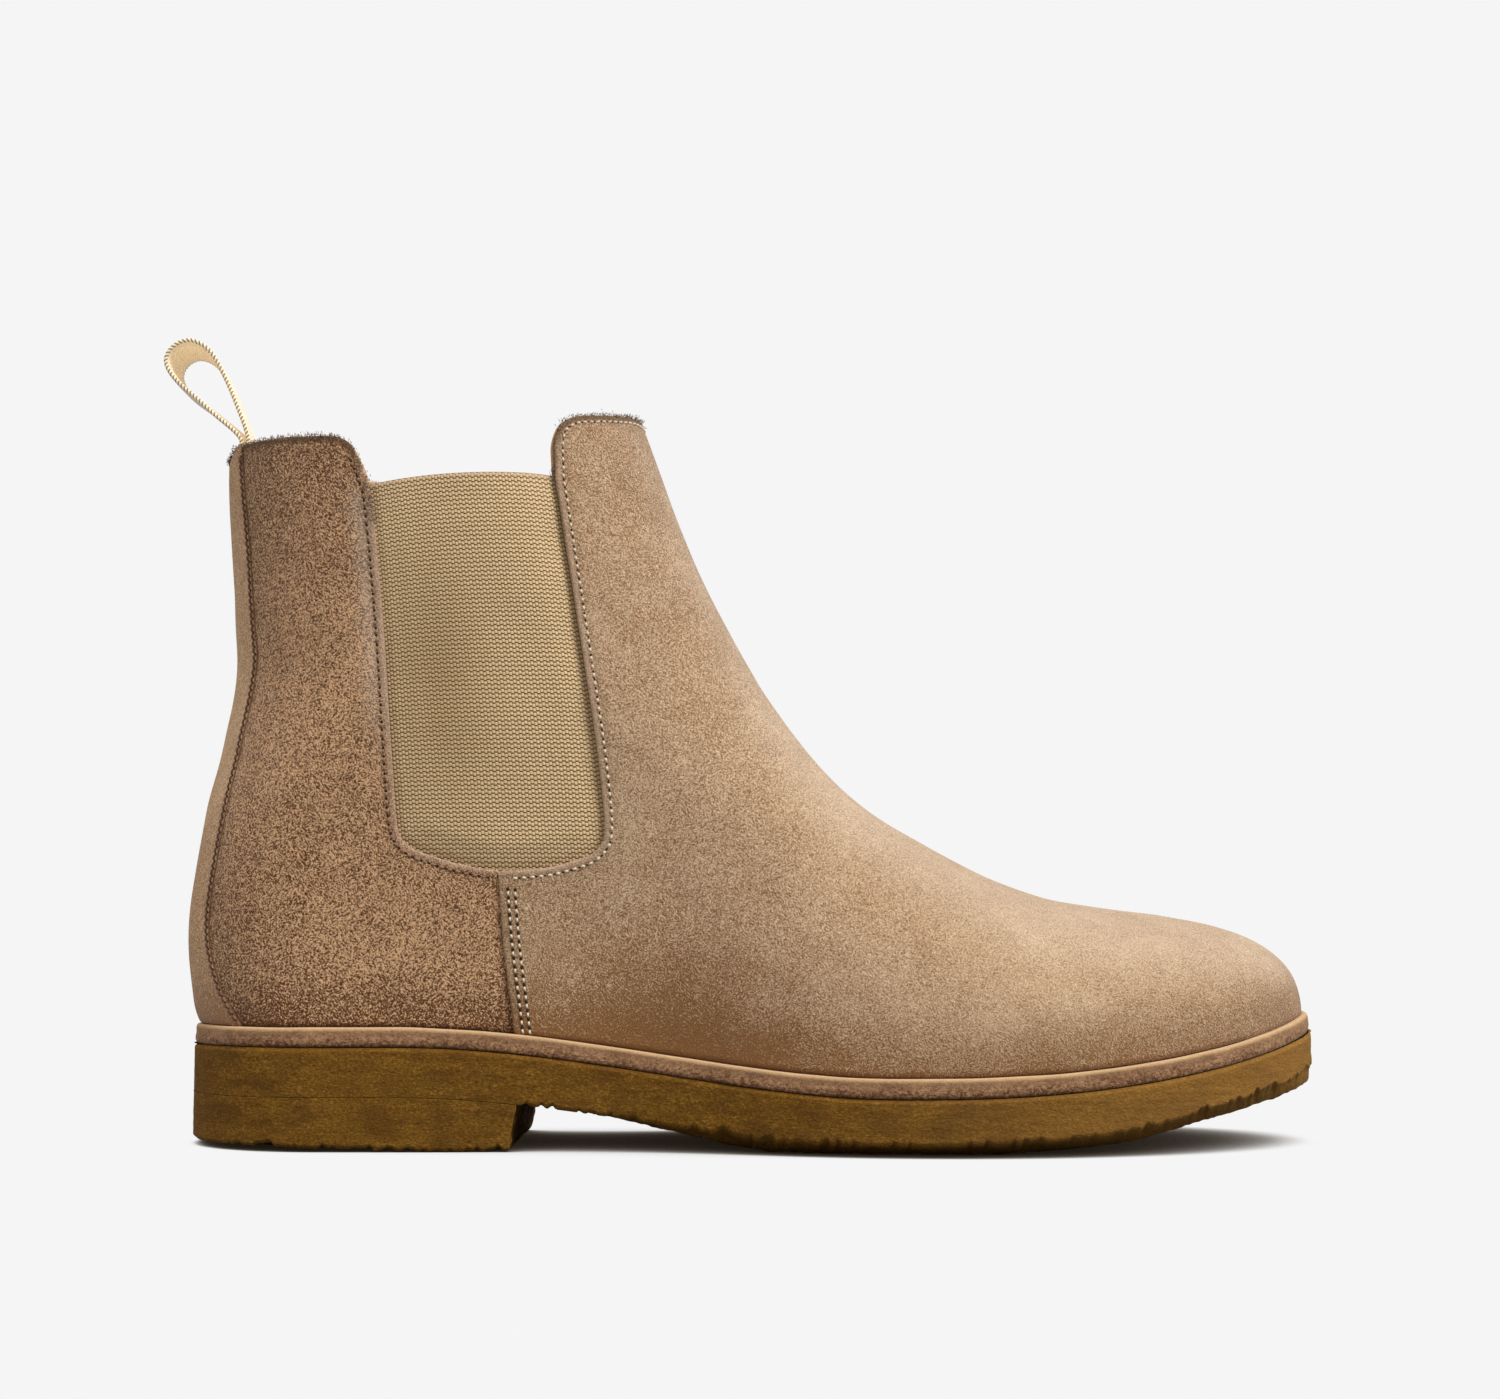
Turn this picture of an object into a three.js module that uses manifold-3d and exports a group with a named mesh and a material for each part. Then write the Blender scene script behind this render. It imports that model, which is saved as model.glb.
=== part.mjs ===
// Chelsea boot, right foot, in millimetres. +X runs to the toe, +Z up, and the outer side of the
// foot is at -Y. The upper is a stack of thin shells cut from one lofted surface; the sole is a
// stack of plates that follow one outline and one side profile.
import * as THREE from 'three';
import { mergeVertices } from 'three/addons/utils/BufferGeometryUtils.js';
import Module from 'manifold-3d';

const wasm = await Module();
wasm.setup();

// ---- Driving dimensions -------------------------------------------------------------------------

// Sole outline, seen from above.
const SOLE_REAR = -147.6;
const SOLE_TIP = 150.6;
const HEEL_ROUND = 37;
const TOE_ROUND_START = 50;
const TOE_ROUND_POWER = 2.5;
const TOE_SWING = 7;
const TOE_SWING_SPAN = [40, 155];
const OUTER_HALF_WIDTH = [[-150, 35.5], [-95, 35.5], [-30, 36.5], [25, 51], [60, 54], [150, 54]];
const INNER_HALF_WIDTH = [[-150, 35.5], [-95, 35.5], [-30, 31], [20, 42], [60, 51.5], [150, 52]];

// Side profile of the top of the rand.
const BALL_X = 36;
const BALL_TOP = 19;
const HEEL_RISE = 11.9;
const HEEL_RISE_LENGTH = 126;
const TOE_SPRING = 14.7;
const TOE_SPRING_END = 150;
const TOE_SPRING_POWER = 2.4;

// Sole stack.
const RAND_HEIGHT = 4.5;
const RAND_WIDTH = 6;
const RAND_INSET = 0.6;
const OUTSOLE_DEPTH = 12.2;
const FORE_THINNING = 1.4;
const FORE_THINNING_SPAN = [0, 35];
const TIP_THINNING = 1.7;
const TIP_THINNING_SPAN = [92, 120];
const WAIST_CROWN = 0.3;
const TREAD_CROWN = 3.8;
const TREAD_CROWN_SPAN = [-55, 10];
const TREAD_BEVEL = 7;
const BREAST_TOP_X = -58.8;
const BREAST_BOTTOM_X = -61;
const HEEL_BEVEL = 1.5;
const GAP = 0.3;

// Centre-line outlines of the upper, seen from the side.
const FRONT_LINE = [
  [-31.5, 199], [-18.8, 164.2], [-8.1, 140.7], [5.3, 117.3], [24.2, 94], [45.7, 79.2],
  [76, 65], [111.7, 59.4], [126.1, 56.6], [137, 52.2], [144.6, 45.8], [147.6, 38.2], [147.9, 32],
];
const BACK_LINE = [
  [-140.4, 199], [-141.2, 173.7], [-138.9, 142.8], [-137.9, 124.3], [-141, 105.7], [-145.6, 85.4],
  [-149.4, 57.7], [-148, 38], [-146, 31],
];
const CUT_MARGIN = 6;
const UPPER_INSET = 2.8;
const UPPER_TIP = 147.9;
const SHAFT_HALF_WIDTH = [[60, 35], [95, 35.5], [125, 36], [160, 37.8], [200, 39]];
const SHAFT_FRONT_ROUND = 58;
const BACK_ROUND = [[30, 34], [80, 34], [150, 46], [200, 52]];
const SHAFT_BLEND = [45, 115];
const FOREFOOT_BLEND = [-50, 30];
const CROWN_RISE_POWER = 2.4;
const CROWN_WIDTH_POWER = 0.52;
const FLOOR_FOLLOW_POWER = 3;

// Layers of the upper, measured inwards from its outer face.
const SUEDE_LAYER = [0, -1.6];
const STIFFENER_LAYER = [-2.1, -3];
const LINING_LAYER = [-3.5, -4.4];

// Pattern lines of the upper, seen from the side.
const TOPLINE_FRONT = [[-50.5, 178.5], [-50.2, 185], [-47, 188.9], [-36, 191.6], [-30, 192.7], [-23, 191.2]];
const TOPLINE_REAR = [
  [-145, 185], [-135, 184], [-113.6, 183.1], [-105, 181.6], [-100.7, 176], [-97.9, 170.5],
];
const GORE_REAR_EDGE = [[-97.8, 169.6], [-95.6, 150.8], [-93.6, 128.4], [-92.1, 106], [-90.5, 84]];
const GORE_BOTTOM = [[-86.5, 76.1], [-74.5, 72.4], [-64.2, 70.9]];
const GORE_BOTTOM_FRONT = [[-52.1, 71.7], [-41.4, 74.6]];
const GORE_FRONT_EDGE = [[-37.2, 84], [-39.4, 103.8], [-44.9, 139.6], [-50.2, 172.4]];
const GORE_TOP = [[-99, 170], [-83, 172.2], [-66, 173.3], [-48, 173.5]];
const GORE_SEAM_ALLOWANCE = 7;
const GORE_CORNER_ALLOWANCE = 3;
const LINING_DROP = 0.6;
const SIDE_SEAM = [[-64.4, 69.3], [-62.9, 52], [-59.8, 28]];
const BACKSTAY_SEAM = [
  [-135.9, 190], [-133.4, 165.8], [-130.6, 135.4], [-129.8, 124], [-132.9, 105], [-136.9, 85],
  [-140.7, 58], [-137.2, 42], [-130.4, 31.3],
];

// Stiffeners, seen from the side: rear edge of the toe puff, front edge of the heel counter.
const TOE_PUFF_EDGE = [[88, 90], [96, 42]];
const HEEL_COUNTER_EDGE = [[-120, 84], [-108, 74], [-96, 58], [-80, 50]];

// Pull loop: flat cotton webbing sewn in at the top of the backstay.
const WEB_WIDTH = 20;
const WEB_THICKNESS = 1.4;
const LOOP_BASE = [-136.2, 187.8];
const LOOP_CENTRE_LINE = [
  [-145.9, 195.8], [-154.2, 202.6], [-157.2, 207.9], [-155.4, 212], [-151, 213.6], [-145.7, 211.3],
  [-141.4, 205.5], [-138.4, 196.8],
];
const ANCHOR_TOP = 185;
const ANCHOR_DEPTH = 20;
const HINGE_ROUND = 1.6;

// Layers inside the lining, as heights above the top of the rand.
const INSIDE = 10.2;
const CORK = { bottom: 0.4, top: 2.4, rear: -15, front: 128, narrower: 4 };
const SHANK = { bottom: 0.5, top: 2.1, rear: -114, front: -24, width: 14 };
const BOARD = { bottom: 2.7, top: 4.9 };
const HEEL_PAD = { thick: 3, thin: 0.5, taperStart: -95, front: -66, narrower: 3 };
const SOCK = { overPad: 3.4, thickness: 1.3, taperStart: -88, taperEnd: -46, narrower: 0.8 };

// Mesh fineness.
const RINGS = 22;
const SIDE_STEPS = 16;
const SOLE_STATIONS = 26;
const RAND_STATIONS = 24;
const INNER_STATIONS = 20;
const LOOP_STEPS = 26;

// ---- Small numeric helpers ----------------------------------------------------------------------

const mix = (a, b, k) => a + (b - a) * k;
const smooth = THREE.MathUtils.smoothstep;

// Smooth curve through a list of [position, value] knots, level beyond both ends.
function through(knots, position) {
  const last = knots.length - 1;
  if (position <= knots[0][0]) return knots[0][1];
  if (position >= knots[last][0]) return knots[last][1];
  const i = knots.findIndex((knot) => knot[0] > position) - 1;
  const slope = (a, b) => (knots[b][1] - knots[a][1]) / (knots[b][0] - knots[a][0]);
  const startSlope = i > 0 ? slope(i - 1, i + 1) : slope(i, i + 1);
  const endSlope = i + 1 < last ? slope(i, i + 2) : slope(i, i + 1);
  const span = knots[i + 1][0] - knots[i][0];
  const t = (position - knots[i][0]) / span;
  const t2 = t * t;
  const t3 = t2 * t;
  return knots[i][1] * (2 * t3 - 3 * t2 + 1) + knots[i + 1][1] * (3 * t2 - 2 * t3)
    + span * (startSlope * (t3 - 2 * t2 + t) + endSlope * (t3 - t2));
}

const splineOf = (points) => new THREE.SplineCurve(points.map(([x, z]) => new THREE.Vector2(x, z)));
const frontCurve = splineOf(FRONT_LINE);
const backCurve = splineOf(BACK_LINE);
const FRONT_SAMPLES = frontCurve.getPoints(240).map((p) => [p.x, p.y]);

// Quarter-ellipse rise from 0 at the edge to 1 at the given depth.
function roundIn(depth, radius) {
  const k = 1 - Math.min(Math.max(depth / radius, 0), 1);
  return Math.sqrt(1 - k * k);
}

// ---- Shape of the foot --------------------------------------------------------------------------

// Height of the top of the rand at x.
function randTop(x) {
  const heel = HEEL_RISE * smooth(BALL_X - x, 0, HEEL_RISE_LENGTH);
  const toe = TOE_SPRING * Math.pow(Math.max(0, (x - BALL_X) / (TOE_SPRING_END - BALL_X)), TOE_SPRING_POWER);
  return BALL_TOP + heel + toe;
}

// Middle of the outline: it swings to the inner side towards the toe.
const outlineMiddle = (x) => TOE_SWING * smooth(x, ...TOE_SWING_SPAN);

// Narrowing of the outline towards its tip, 1 behind the ball and 0 at the tip.
function toeNarrowing(x, tip) {
  const k = Math.min(Math.max((x - TOE_ROUND_START) / (tip - TOE_ROUND_START), 0), 1);
  return Math.sqrt(1 - Math.pow(k, TOE_ROUND_POWER));
}

// Half width before either end is rounded off; side is -1 for the outer side and 1 for the inner.
const fullHalfWidth = (x, side) => through(side < 0 ? OUTER_HALF_WIDTH : INNER_HALF_WIDTH, x);

// Half width of the sole outline, shrunk all round by inset.
function outlineHalf(x, side, inset) {
  const narrowing = toeNarrowing(x, SOLE_TIP - inset) * roundIn(x - SOLE_REAR - inset, HEEL_ROUND - inset);
  return (fullHalfWidth(x, side) - inset) * narrowing;
}

// Height of the front line above x.
function topHeight(x) {
  if (x <= FRONT_SAMPLES[0][0]) return FRONT_SAMPLES[0][1];
  const i = FRONT_SAMPLES.findIndex((sample) => sample[0] >= x);
  if (i < 1) return FRONT_SAMPLES[FRONT_SAMPLES.length - 1][1];
  const [x0, z0] = FRONT_SAMPLES[i - 1];
  const [x1, z1] = FRONT_SAMPLES[i];
  return mix(z0, z1, (x - x0) / Math.max(x1 - x0, 1e-6));
}

// Half width of the upper where the ring runs from back point to front point.
function upperHalf(x, z, side, back, front) {
  const footHalf = fullHalfWidth(x, side) - UPPER_INSET;
  const shaftHalf = mix(footHalf, through(SHAFT_HALF_WIDTH, z), smooth(z, ...SHAFT_BLEND));
  const rounding = roundIn(x - back.x, through(BACK_ROUND, z)) * roundIn(front.x - x, SHAFT_FRONT_ROUND);
  const base = randTop(x);
  const rise = Math.min(Math.max((z - base) / Math.max(topHeight(x) - base, 1), 0), 1);
  const crown = Math.pow(1 - Math.pow(rise, CROWN_RISE_POWER), CROWN_WIDTH_POWER);
  const forefoot = footHalf * toeNarrowing(x, UPPER_TIP) * crown;
  return mix(shaftHalf * rounding, forefoot, smooth(x, ...FOREFOOT_BLEND));
}

// Point of the upper: along runs 0 to 1 from back to front, level 0 to 1 from topline to rand, and
// below is how far under the rand line it lies.
function upperPoint(along, level, side, below = 0) {
  const back = backCurve.getPointAt(level);
  const front = frontCurve.getPointAt(level);
  const x = mix(back.x, front.x, along);
  const straight = mix(back.y, front.y, along);
  const floor = randTop(x) - mix(randTop(back.x), randTop(front.x), along);
  const z = straight + floor * Math.pow(level, FLOOR_FOLLOW_POWER);
  const y = outlineMiddle(x) + side * upperHalf(x, z, side, back, front);
  return new THREE.Vector3(x, y, z - below);
}

// ---- Mesh builders ------------------------------------------------------------------------------

// Closed body from a stack of closed loops with equal point counts, capped at both ends.
function loftLoops(loops, closedStack = false) {
  const count = loops[0].length;
  const positions = loops.flat().flatMap((p) => [p.x, p.y, p.z]);
  const faces = [];
  const spans = closedStack ? loops.length : loops.length - 1;
  for (let i = 0; i < spans; i += 1) {
    const a = i * count;
    const b = ((i + 1) % loops.length) * count;
    for (let j = 0; j < count; j += 1) {
      const k = (j + 1) % count;
      faces.push(a + j, b + j, b + k, a + j, b + k, a + k);
    }
  }
  if (!closedStack) {
    for (let j = 1; j < count - 1; j += 1) {
      const top = (loops.length - 1) * count;
      faces.push(0, j, j + 1, top, top + j + 1, top + j);
    }
  }
  const geometry = new THREE.BufferGeometry();
  geometry.setAttribute('position', new THREE.Float32BufferAttribute(positions, 3));
  geometry.setIndex(faces);
  return geometry;
}

// Solid for joining and cutting; a body wound inside out is turned round first.
function solid(geometry) {
  const bare = geometry.clone();
  bare.deleteAttribute('normal');
  bare.deleteAttribute('uv');
  const merged = mergeVertices(bare, 1e-4);
  const vertProperties = new Float32Array(merged.attributes.position.array);
  const triVerts = new Uint32Array(merged.index.array);
  if (signedVolume(vertProperties, triVerts) < 0) triVerts.reverse();
  return new wasm.Manifold(new wasm.Mesh({ numProp: 3, vertProperties, triVerts }));
}

function signedVolume(positions, faces) {
  const a = new THREE.Vector3();
  const b = new THREE.Vector3();
  const c = new THREE.Vector3();
  let total = 0;
  for (let i = 0; i < faces.length; i += 3) {
    a.fromArray(positions, faces[i] * 3);
    b.fromArray(positions, faces[i + 1] * 3);
    c.fromArray(positions, faces[i + 2] * 3);
    total += a.dot(b.cross(c));
  }
  return total / 6;
}

function geometryOf(manifold) {
  const mesh = manifold.getMesh();
  const geometry = new THREE.BufferGeometry();
  geometry.setAttribute('position', new THREE.BufferAttribute(new Float32Array(mesh.vertProperties), 3));
  geometry.setIndex(new THREE.BufferAttribute(new Uint32Array(mesh.triVerts), 1));
  geometry.computeVertexNormals();
  return geometry;
}

// Block of a side-view outline, from one y to another.
function sideBlock(points, fromY, toY) {
  const shape = new THREE.Shape(points.map(([x, z]) => new THREE.Vector2(x, z)));
  const block = new THREE.ExtrudeGeometry(shape, { depth: toY - fromY, bevelEnabled: false });
  block.rotateX(Math.PI / 2);
  block.translate(0, toY, 0);
  return solid(block);
}

// Grid of points and outward normals over the whole upper, one closed ring per row. The last row
// carries the surface below the rand line, where every piece is cut off.
function upperGrid(rings, steps) {
  const rows = [];
  for (let i = 0; i <= rings + 1; i += 1) {
    const level = Math.min(i / rings, 1);
    const below = i > rings ? CUT_MARGIN : 0;
    const row = [];
    for (let j = 0; j < 2 * steps; j += 1) {
      const turn = j <= steps ? j / steps : (2 * steps - j) / steps;
      row.push(upperPoint((1 - Math.cos(Math.PI * turn)) / 2, level, j <= steps ? -1 : 1, below));
    }
    rows.push(row);
  }
  const normals = rows.map((row, i) => row.map((point, j) => {
    const next = row[(j + 1) % row.length];
    const previous = row[(j + row.length - 1) % row.length];
    const above = rows[Math.max(i - 1, 0)][j];
    const below = rows[Math.min(i + 1, rows.length - 1)][j];
    const across = next.clone().sub(previous);
    return across.cross(below.clone().sub(above)).normalize().negate();
  }));
  normals[rings + 1] = normals[rings];
  return { rows, normals };
}

const upper = upperGrid(RINGS, SIDE_STEPS);

// Shell of the whole upper between two depths below its outer face.
function upperShell([outerDepth, innerDepth]) {
  const { rows, normals } = upper;
  const moved = (depth) => rows.map((row, i) => (
    row.map((p, j) => p.clone().addScaledVector(normals[i][j], depth))
  ));
  return solid(loftLoops([...moved(outerDepth), ...moved(innerDepth).reverse()], true));
}

// Top of the rand as side-view points, lifted by lift, from one x to another.
const RAND_LINE_STEP = 14;
function randLine(fromX, toX, lift) {
  const count = Math.max(2, Math.ceil(Math.abs(toX - fromX) / RAND_LINE_STEP));
  return Array.from({ length: count + 1 }, (_, i) => {
    const x = mix(fromX, toX, i / count);
    return [x, randTop(x) + lift];
  });
}

const shifted = (points, dx, dz = 0) => points.map(([x, z]) => [x + dx, z + dz]);

// Sole plate between two heights, each a function of x, cut to a stretch of x.
const NARROWEST_END = 1.5;
function solePlate({
  inset, bottom, top, fromX = -1000, toX = 1000, bevel = null, stations = SOLE_STATIONS,
}) {
  const rear = Math.max(SOLE_REAR + inset, fromX);
  const tip = Math.min(SOLE_TIP - inset, toX);
  const loops = [];
  for (let i = 0; i <= stations; i += 1) {
    const x = mix(rear, tip, (1 - Math.cos((Math.PI * i) / stations)) / 2);
    const middle = outlineMiddle(x);
    const outer = middle - Math.max(outlineHalf(x, -1, inset), NARROWEST_END);
    const inner = middle + Math.max(outlineHalf(x, 1, inset), NARROWEST_END);
    const loop = [[outer, top(x)], [inner, top(x)]];
    if (bevel) {
      const run = Math.min(bevel.run, (inner - outer) / 3);
      loop.push([inner, bottom(x) + bevel.rise(x)], [inner - run, bottom(x)]);
      loop.push([outer + run, bottom(x)], [outer, bottom(x) + bevel.rise(x)]);
    } else {
      loop.push([inner, bottom(x)], [outer, bottom(x)]);
    }
    loops.push(loop.map(([y, z]) => new THREE.Vector3(x, y, z)));
  }
  return solid(loftLoops(loops));
}

// Closed strip that follows the sole outline.
function soleRing({ inset, width, bottom, top, stations }) {
  const loops = [];
  for (let j = 0; j < 2 * stations; j += 1) {
    const side = j <= stations ? -1 : 1;
    const turn = j <= stations ? j / stations : (2 * stations - j) / stations;
    const along = (1 - Math.cos(Math.PI * turn)) / 2;
    const at = (depth) => {
      const x = mix(SOLE_REAR + depth, SOLE_TIP - depth, along);
      return [x, outlineMiddle(x) + side * outlineHalf(x, side, depth)];
    };
    const [outerX, outerY] = at(inset);
    const [innerX, innerY] = at(inset + width);
    loops.push([
      new THREE.Vector3(outerX, outerY, bottom(outerX)),
      new THREE.Vector3(outerX, outerY, top(outerX)),
      new THREE.Vector3(innerX, innerY, top(innerX)),
      new THREE.Vector3(innerX, innerY, bottom(innerX)),
    ]);
  }
  return solid(loftLoops(loops, true));
}

// ---- Parts --------------------------------------------------------------------------------------

const boot = new THREE.Group();

function add(name, manifold, color, roughness, metalness = 0) {
  const material = new THREE.MeshStandardMaterial({ color, roughness, metalness });
  const mesh = new THREE.Mesh(geometryOf(manifold), material);
  mesh.name = name;
  boot.add(mesh);
}

const SUEDE = 0xb98d5c;
const SUEDE_DARK = 0xa87c4d;
const ELASTIC = 0xc9a877;
const FELT = 0xd8d0bf;
const WEBBING = 0xe2d3b4;
const LEATHER = 0xcfae85;
const CREPE = 0xa9713c;
const FOAM_BOARD = 0xb58a5a;
const CORK_GRAIN = 0xb98b5e;
const STEEL = 0x8d9095;
const FIBRE_BOARD = 0xc8a882;
const LATEX_FOAM = 0xe6d9c0;
const NAPPED = 0.95;
const WOVEN = 0.9;
const SMOOTH_LEATHER = 0.8;
const RUBBER = 0.75;
const POLISHED = 0.35;
const METAL = 0.9;

// Reaches past the boot on every side.
const HALF_SPACE = 90;
const BEHIND = -160;
const AHEAD = 160;
const ABOVE = 199;

// Upper leather.
const suede = upperShell(SUEDE_LAYER);
const seamTop = [SIDE_SEAM[0][0], GORE_BOTTOM[2][1]];
const seamFoot = SIDE_SEAM[2][0];

const vampOutline = [
  ...shifted([...SIDE_SEAM].reverse().slice(1), GAP), ...shifted([seamTop], GAP),
  ...GORE_BOTTOM_FRONT, ...GORE_FRONT_EDGE, ...TOPLINE_FRONT, [10, ABOVE], [AHEAD, ABOVE],
  ...randLine(AHEAD, seamFoot + GAP, GAP),
];
add('vamp', suede.intersect(sideBlock(vampOutline, -HALF_SPACE, HALF_SPACE)), SUEDE, NAPPED);

const quarterFront = [...GORE_REAR_EDGE, ...GORE_BOTTOM.slice(0, 2), seamTop, ...SIDE_SEAM.slice(0, 2)];
const quarterOutline = [
  ...TOPLINE_REAR.slice(1), ...quarterFront,
  ...randLine(seamFoot - GAP, BACKSTAY_SEAM[8][0] + GAP, GAP),
  ...shifted([...BACKSTAY_SEAM].reverse().slice(1, -1), GAP),
];
add('quarter_outer', suede.intersect(sideBlock(quarterOutline, -HALF_SPACE, 0)), SUEDE_DARK, NAPPED);
add('quarter_inner', suede.intersect(sideBlock(quarterOutline, 0, HALF_SPACE)), SUEDE_DARK, NAPPED);

const backstayOutline = [
  [BEHIND, TOPLINE_REAR[0][1]], TOPLINE_REAR[1], ...BACKSTAY_SEAM.slice(1),
  ...randLine(BACKSTAY_SEAM[8][0], BEHIND, GAP),
];
add('backstay', suede.intersect(sideBlock(backstayOutline, -HALF_SPACE, HALF_SPACE)), SUEDE, NAPPED);

// Layer between the leather and the lining: elastic gores, toe puff, heel counter, loop tail.
const stiffener = upperShell(STIFFENER_LAYER);

const goreOutline = [
  [GORE_REAR_EDGE[0][0] - GORE_SEAM_ALLOWANCE, GORE_REAR_EDGE[0][1]], ...GORE_TOP,
  [GORE_FRONT_EDGE[3][0] + GORE_SEAM_ALLOWANCE, GORE_TOP[3][1]],
  ...shifted([...GORE_FRONT_EDGE].reverse().slice(1), GORE_SEAM_ALLOWANCE),
  ...shifted([...GORE_BOTTOM_FRONT].reverse(), GORE_CORNER_ALLOWANCE, -GORE_SEAM_ALLOWANCE),
  ...shifted([...GORE_BOTTOM].reverse(), -GORE_CORNER_ALLOWANCE, -GORE_SEAM_ALLOWANCE),
  ...shifted([...GORE_REAR_EDGE].reverse().slice(0, -1), -GORE_SEAM_ALLOWANCE),
];
add('gore_outer', stiffener.intersect(sideBlock(goreOutline, -HALF_SPACE, 0)), ELASTIC, WOVEN);
add('gore_inner', stiffener.intersect(sideBlock(goreOutline, 0, HALF_SPACE)), ELASTIC, WOVEN);

const puffOutline = [
  ...TOE_PUFF_EDGE,
  ...randLine(TOE_PUFF_EDGE[1][0] + RAND_LINE_STEP / 2, AHEAD, GAP),
  [AHEAD, TOE_PUFF_EDGE[0][1]],
];
add('toe_puff', stiffener.intersect(sideBlock(puffOutline, -HALF_SPACE, HALF_SPACE)), FELT, WOVEN);

const counterOutline = [
  [BEHIND, HEEL_COUNTER_EDGE[0][1]], ...HEEL_COUNTER_EDGE,
  ...randLine(HEEL_COUNTER_EDGE[3][0] + GAP, BEHIND, GAP),
];
add('heel_counter', stiffener.intersect(sideBlock(counterOutline, -HALF_SPACE, HALF_SPACE)), FELT, WOVEN);

const anchorFront = LOOP_BASE[0] + WEB_WIDTH;
const anchorOutline = [
  [BEHIND, ANCHOR_TOP], [anchorFront, ANCHOR_TOP], [anchorFront, ANCHOR_TOP - ANCHOR_DEPTH],
  [BEHIND, ANCHOR_TOP - ANCHOR_DEPTH],
];
const anchorBlock = sideBlock(anchorOutline, -WEB_WIDTH / 2, WEB_WIDTH / 2);
add('pull_tab_anchor', stiffener.intersect(anchorBlock), WEBBING, NAPPED);

// Lining, a little lower than the leather along the topline.
const lining = upperShell(LINING_LAYER);
const lowered = (points, aboveZ) => points.map(([x, z]) => [x, z > aboveZ ? z - LINING_DROP : z]);
const vampLiningOutline = lowered(vampOutline, GORE_FRONT_EDGE[3][1]);
const vampLiningBlock = sideBlock(vampLiningOutline, -HALF_SPACE, HALF_SPACE);
add('vamp_lining', lining.intersect(vampLiningBlock), LEATHER, SMOOTH_LEATHER);
const quarterLiningOutline = [
  [BEHIND, TOPLINE_REAR[0][1] - LINING_DROP], ...lowered(TOPLINE_REAR.slice(1), GORE_REAR_EDGE[0][1]),
  ...quarterFront, ...randLine(seamFoot - GAP, BEHIND, GAP),
];
const quarterLiningBlock = sideBlock(quarterLiningOutline, -HALF_SPACE, HALF_SPACE);
add('quarter_lining', lining.intersect(quarterLiningBlock), LEATHER, SMOOTH_LEATHER);

// Bottom stack, from the floor up.
const randBottom = (x) => randTop(x) - RAND_HEIGHT;
const outsoleTop = (x) => randBottom(x) - GAP;
const foreThinning = (x) => FORE_THINNING * smooth(x, ...FORE_THINNING_SPAN);
const tipThinning = (x) => TIP_THINNING * smooth(x, ...TIP_THINNING_SPAN);
const outsoleEdge = (x) => outsoleTop(x) - OUTSOLE_DEPTH + foreThinning(x) + tipThinning(x);
const treadCrown = (x) => mix(WAIST_CROWN, TREAD_CROWN, smooth(x, ...TREAD_CROWN_SPAN));
const outsoleFloor = (x) => Math.max(0, outsoleEdge(x) - treadCrown(x));
add('outsole', solePlate({
  inset: 0,
  top: outsoleTop,
  bottom: outsoleFloor,
  bevel: { run: TREAD_BEVEL, rise: (x) => outsoleEdge(x) - outsoleFloor(x) },
}), CREPE, RUBBER);

const heelTop = (x) => outsoleFloor(x) - GAP;
const heelRaw = solePlate({
  inset: 0,
  top: heelTop,
  bottom: () => 0,
  toX: TREAD_CROWN_SPAN[0],
  bevel: { run: HEEL_BEVEL, rise: () => HEEL_BEVEL },
});
const breastOutline = [
  [BEHIND, -HEEL_BEVEL], [BREAST_BOTTOM_X, -HEEL_BEVEL], [BREAST_TOP_X, heelTop(BREAST_TOP_X) + HEEL_BEVEL],
  [BEHIND, BALL_TOP],
];
add('heel_block', heelRaw.intersect(sideBlock(breastOutline, -HALF_SPACE, HALF_SPACE)), CREPE, RUBBER);

add('rand', soleRing({
  inset: RAND_INSET, width: RAND_WIDTH, bottom: randBottom, top: randTop, stations: RAND_STATIONS,
}), SUEDE_DARK, NAPPED);
add('midsole', solePlate({
  inset: RAND_INSET + RAND_WIDTH + 2 * GAP, bottom: randBottom, top: (x) => randTop(x) - GAP,
}), FOAM_BOARD, WOVEN);

// Inside the lining.
const above = (lift) => (x) => randTop(x) + lift;
add('cork_filler', solePlate({
  inset: INSIDE + CORK.narrower, bottom: above(CORK.bottom), top: above(CORK.top),
  fromX: CORK.rear, toX: CORK.front, stations: INNER_STATIONS,
}), CORK_GRAIN, NAPPED);
const shankOutline = [
  ...randLine(SHANK.rear, SHANK.front, SHANK.bottom), ...randLine(SHANK.front, SHANK.rear, SHANK.top),
];
add('shank', sideBlock(shankOutline, -SHANK.width / 2, SHANK.width / 2), STEEL, POLISHED, METAL);
add('insole_board', solePlate({
  inset: INSIDE, bottom: above(BOARD.bottom), top: above(BOARD.top), stations: INNER_STATIONS,
}), FIBRE_BOARD, WOVEN);

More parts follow.
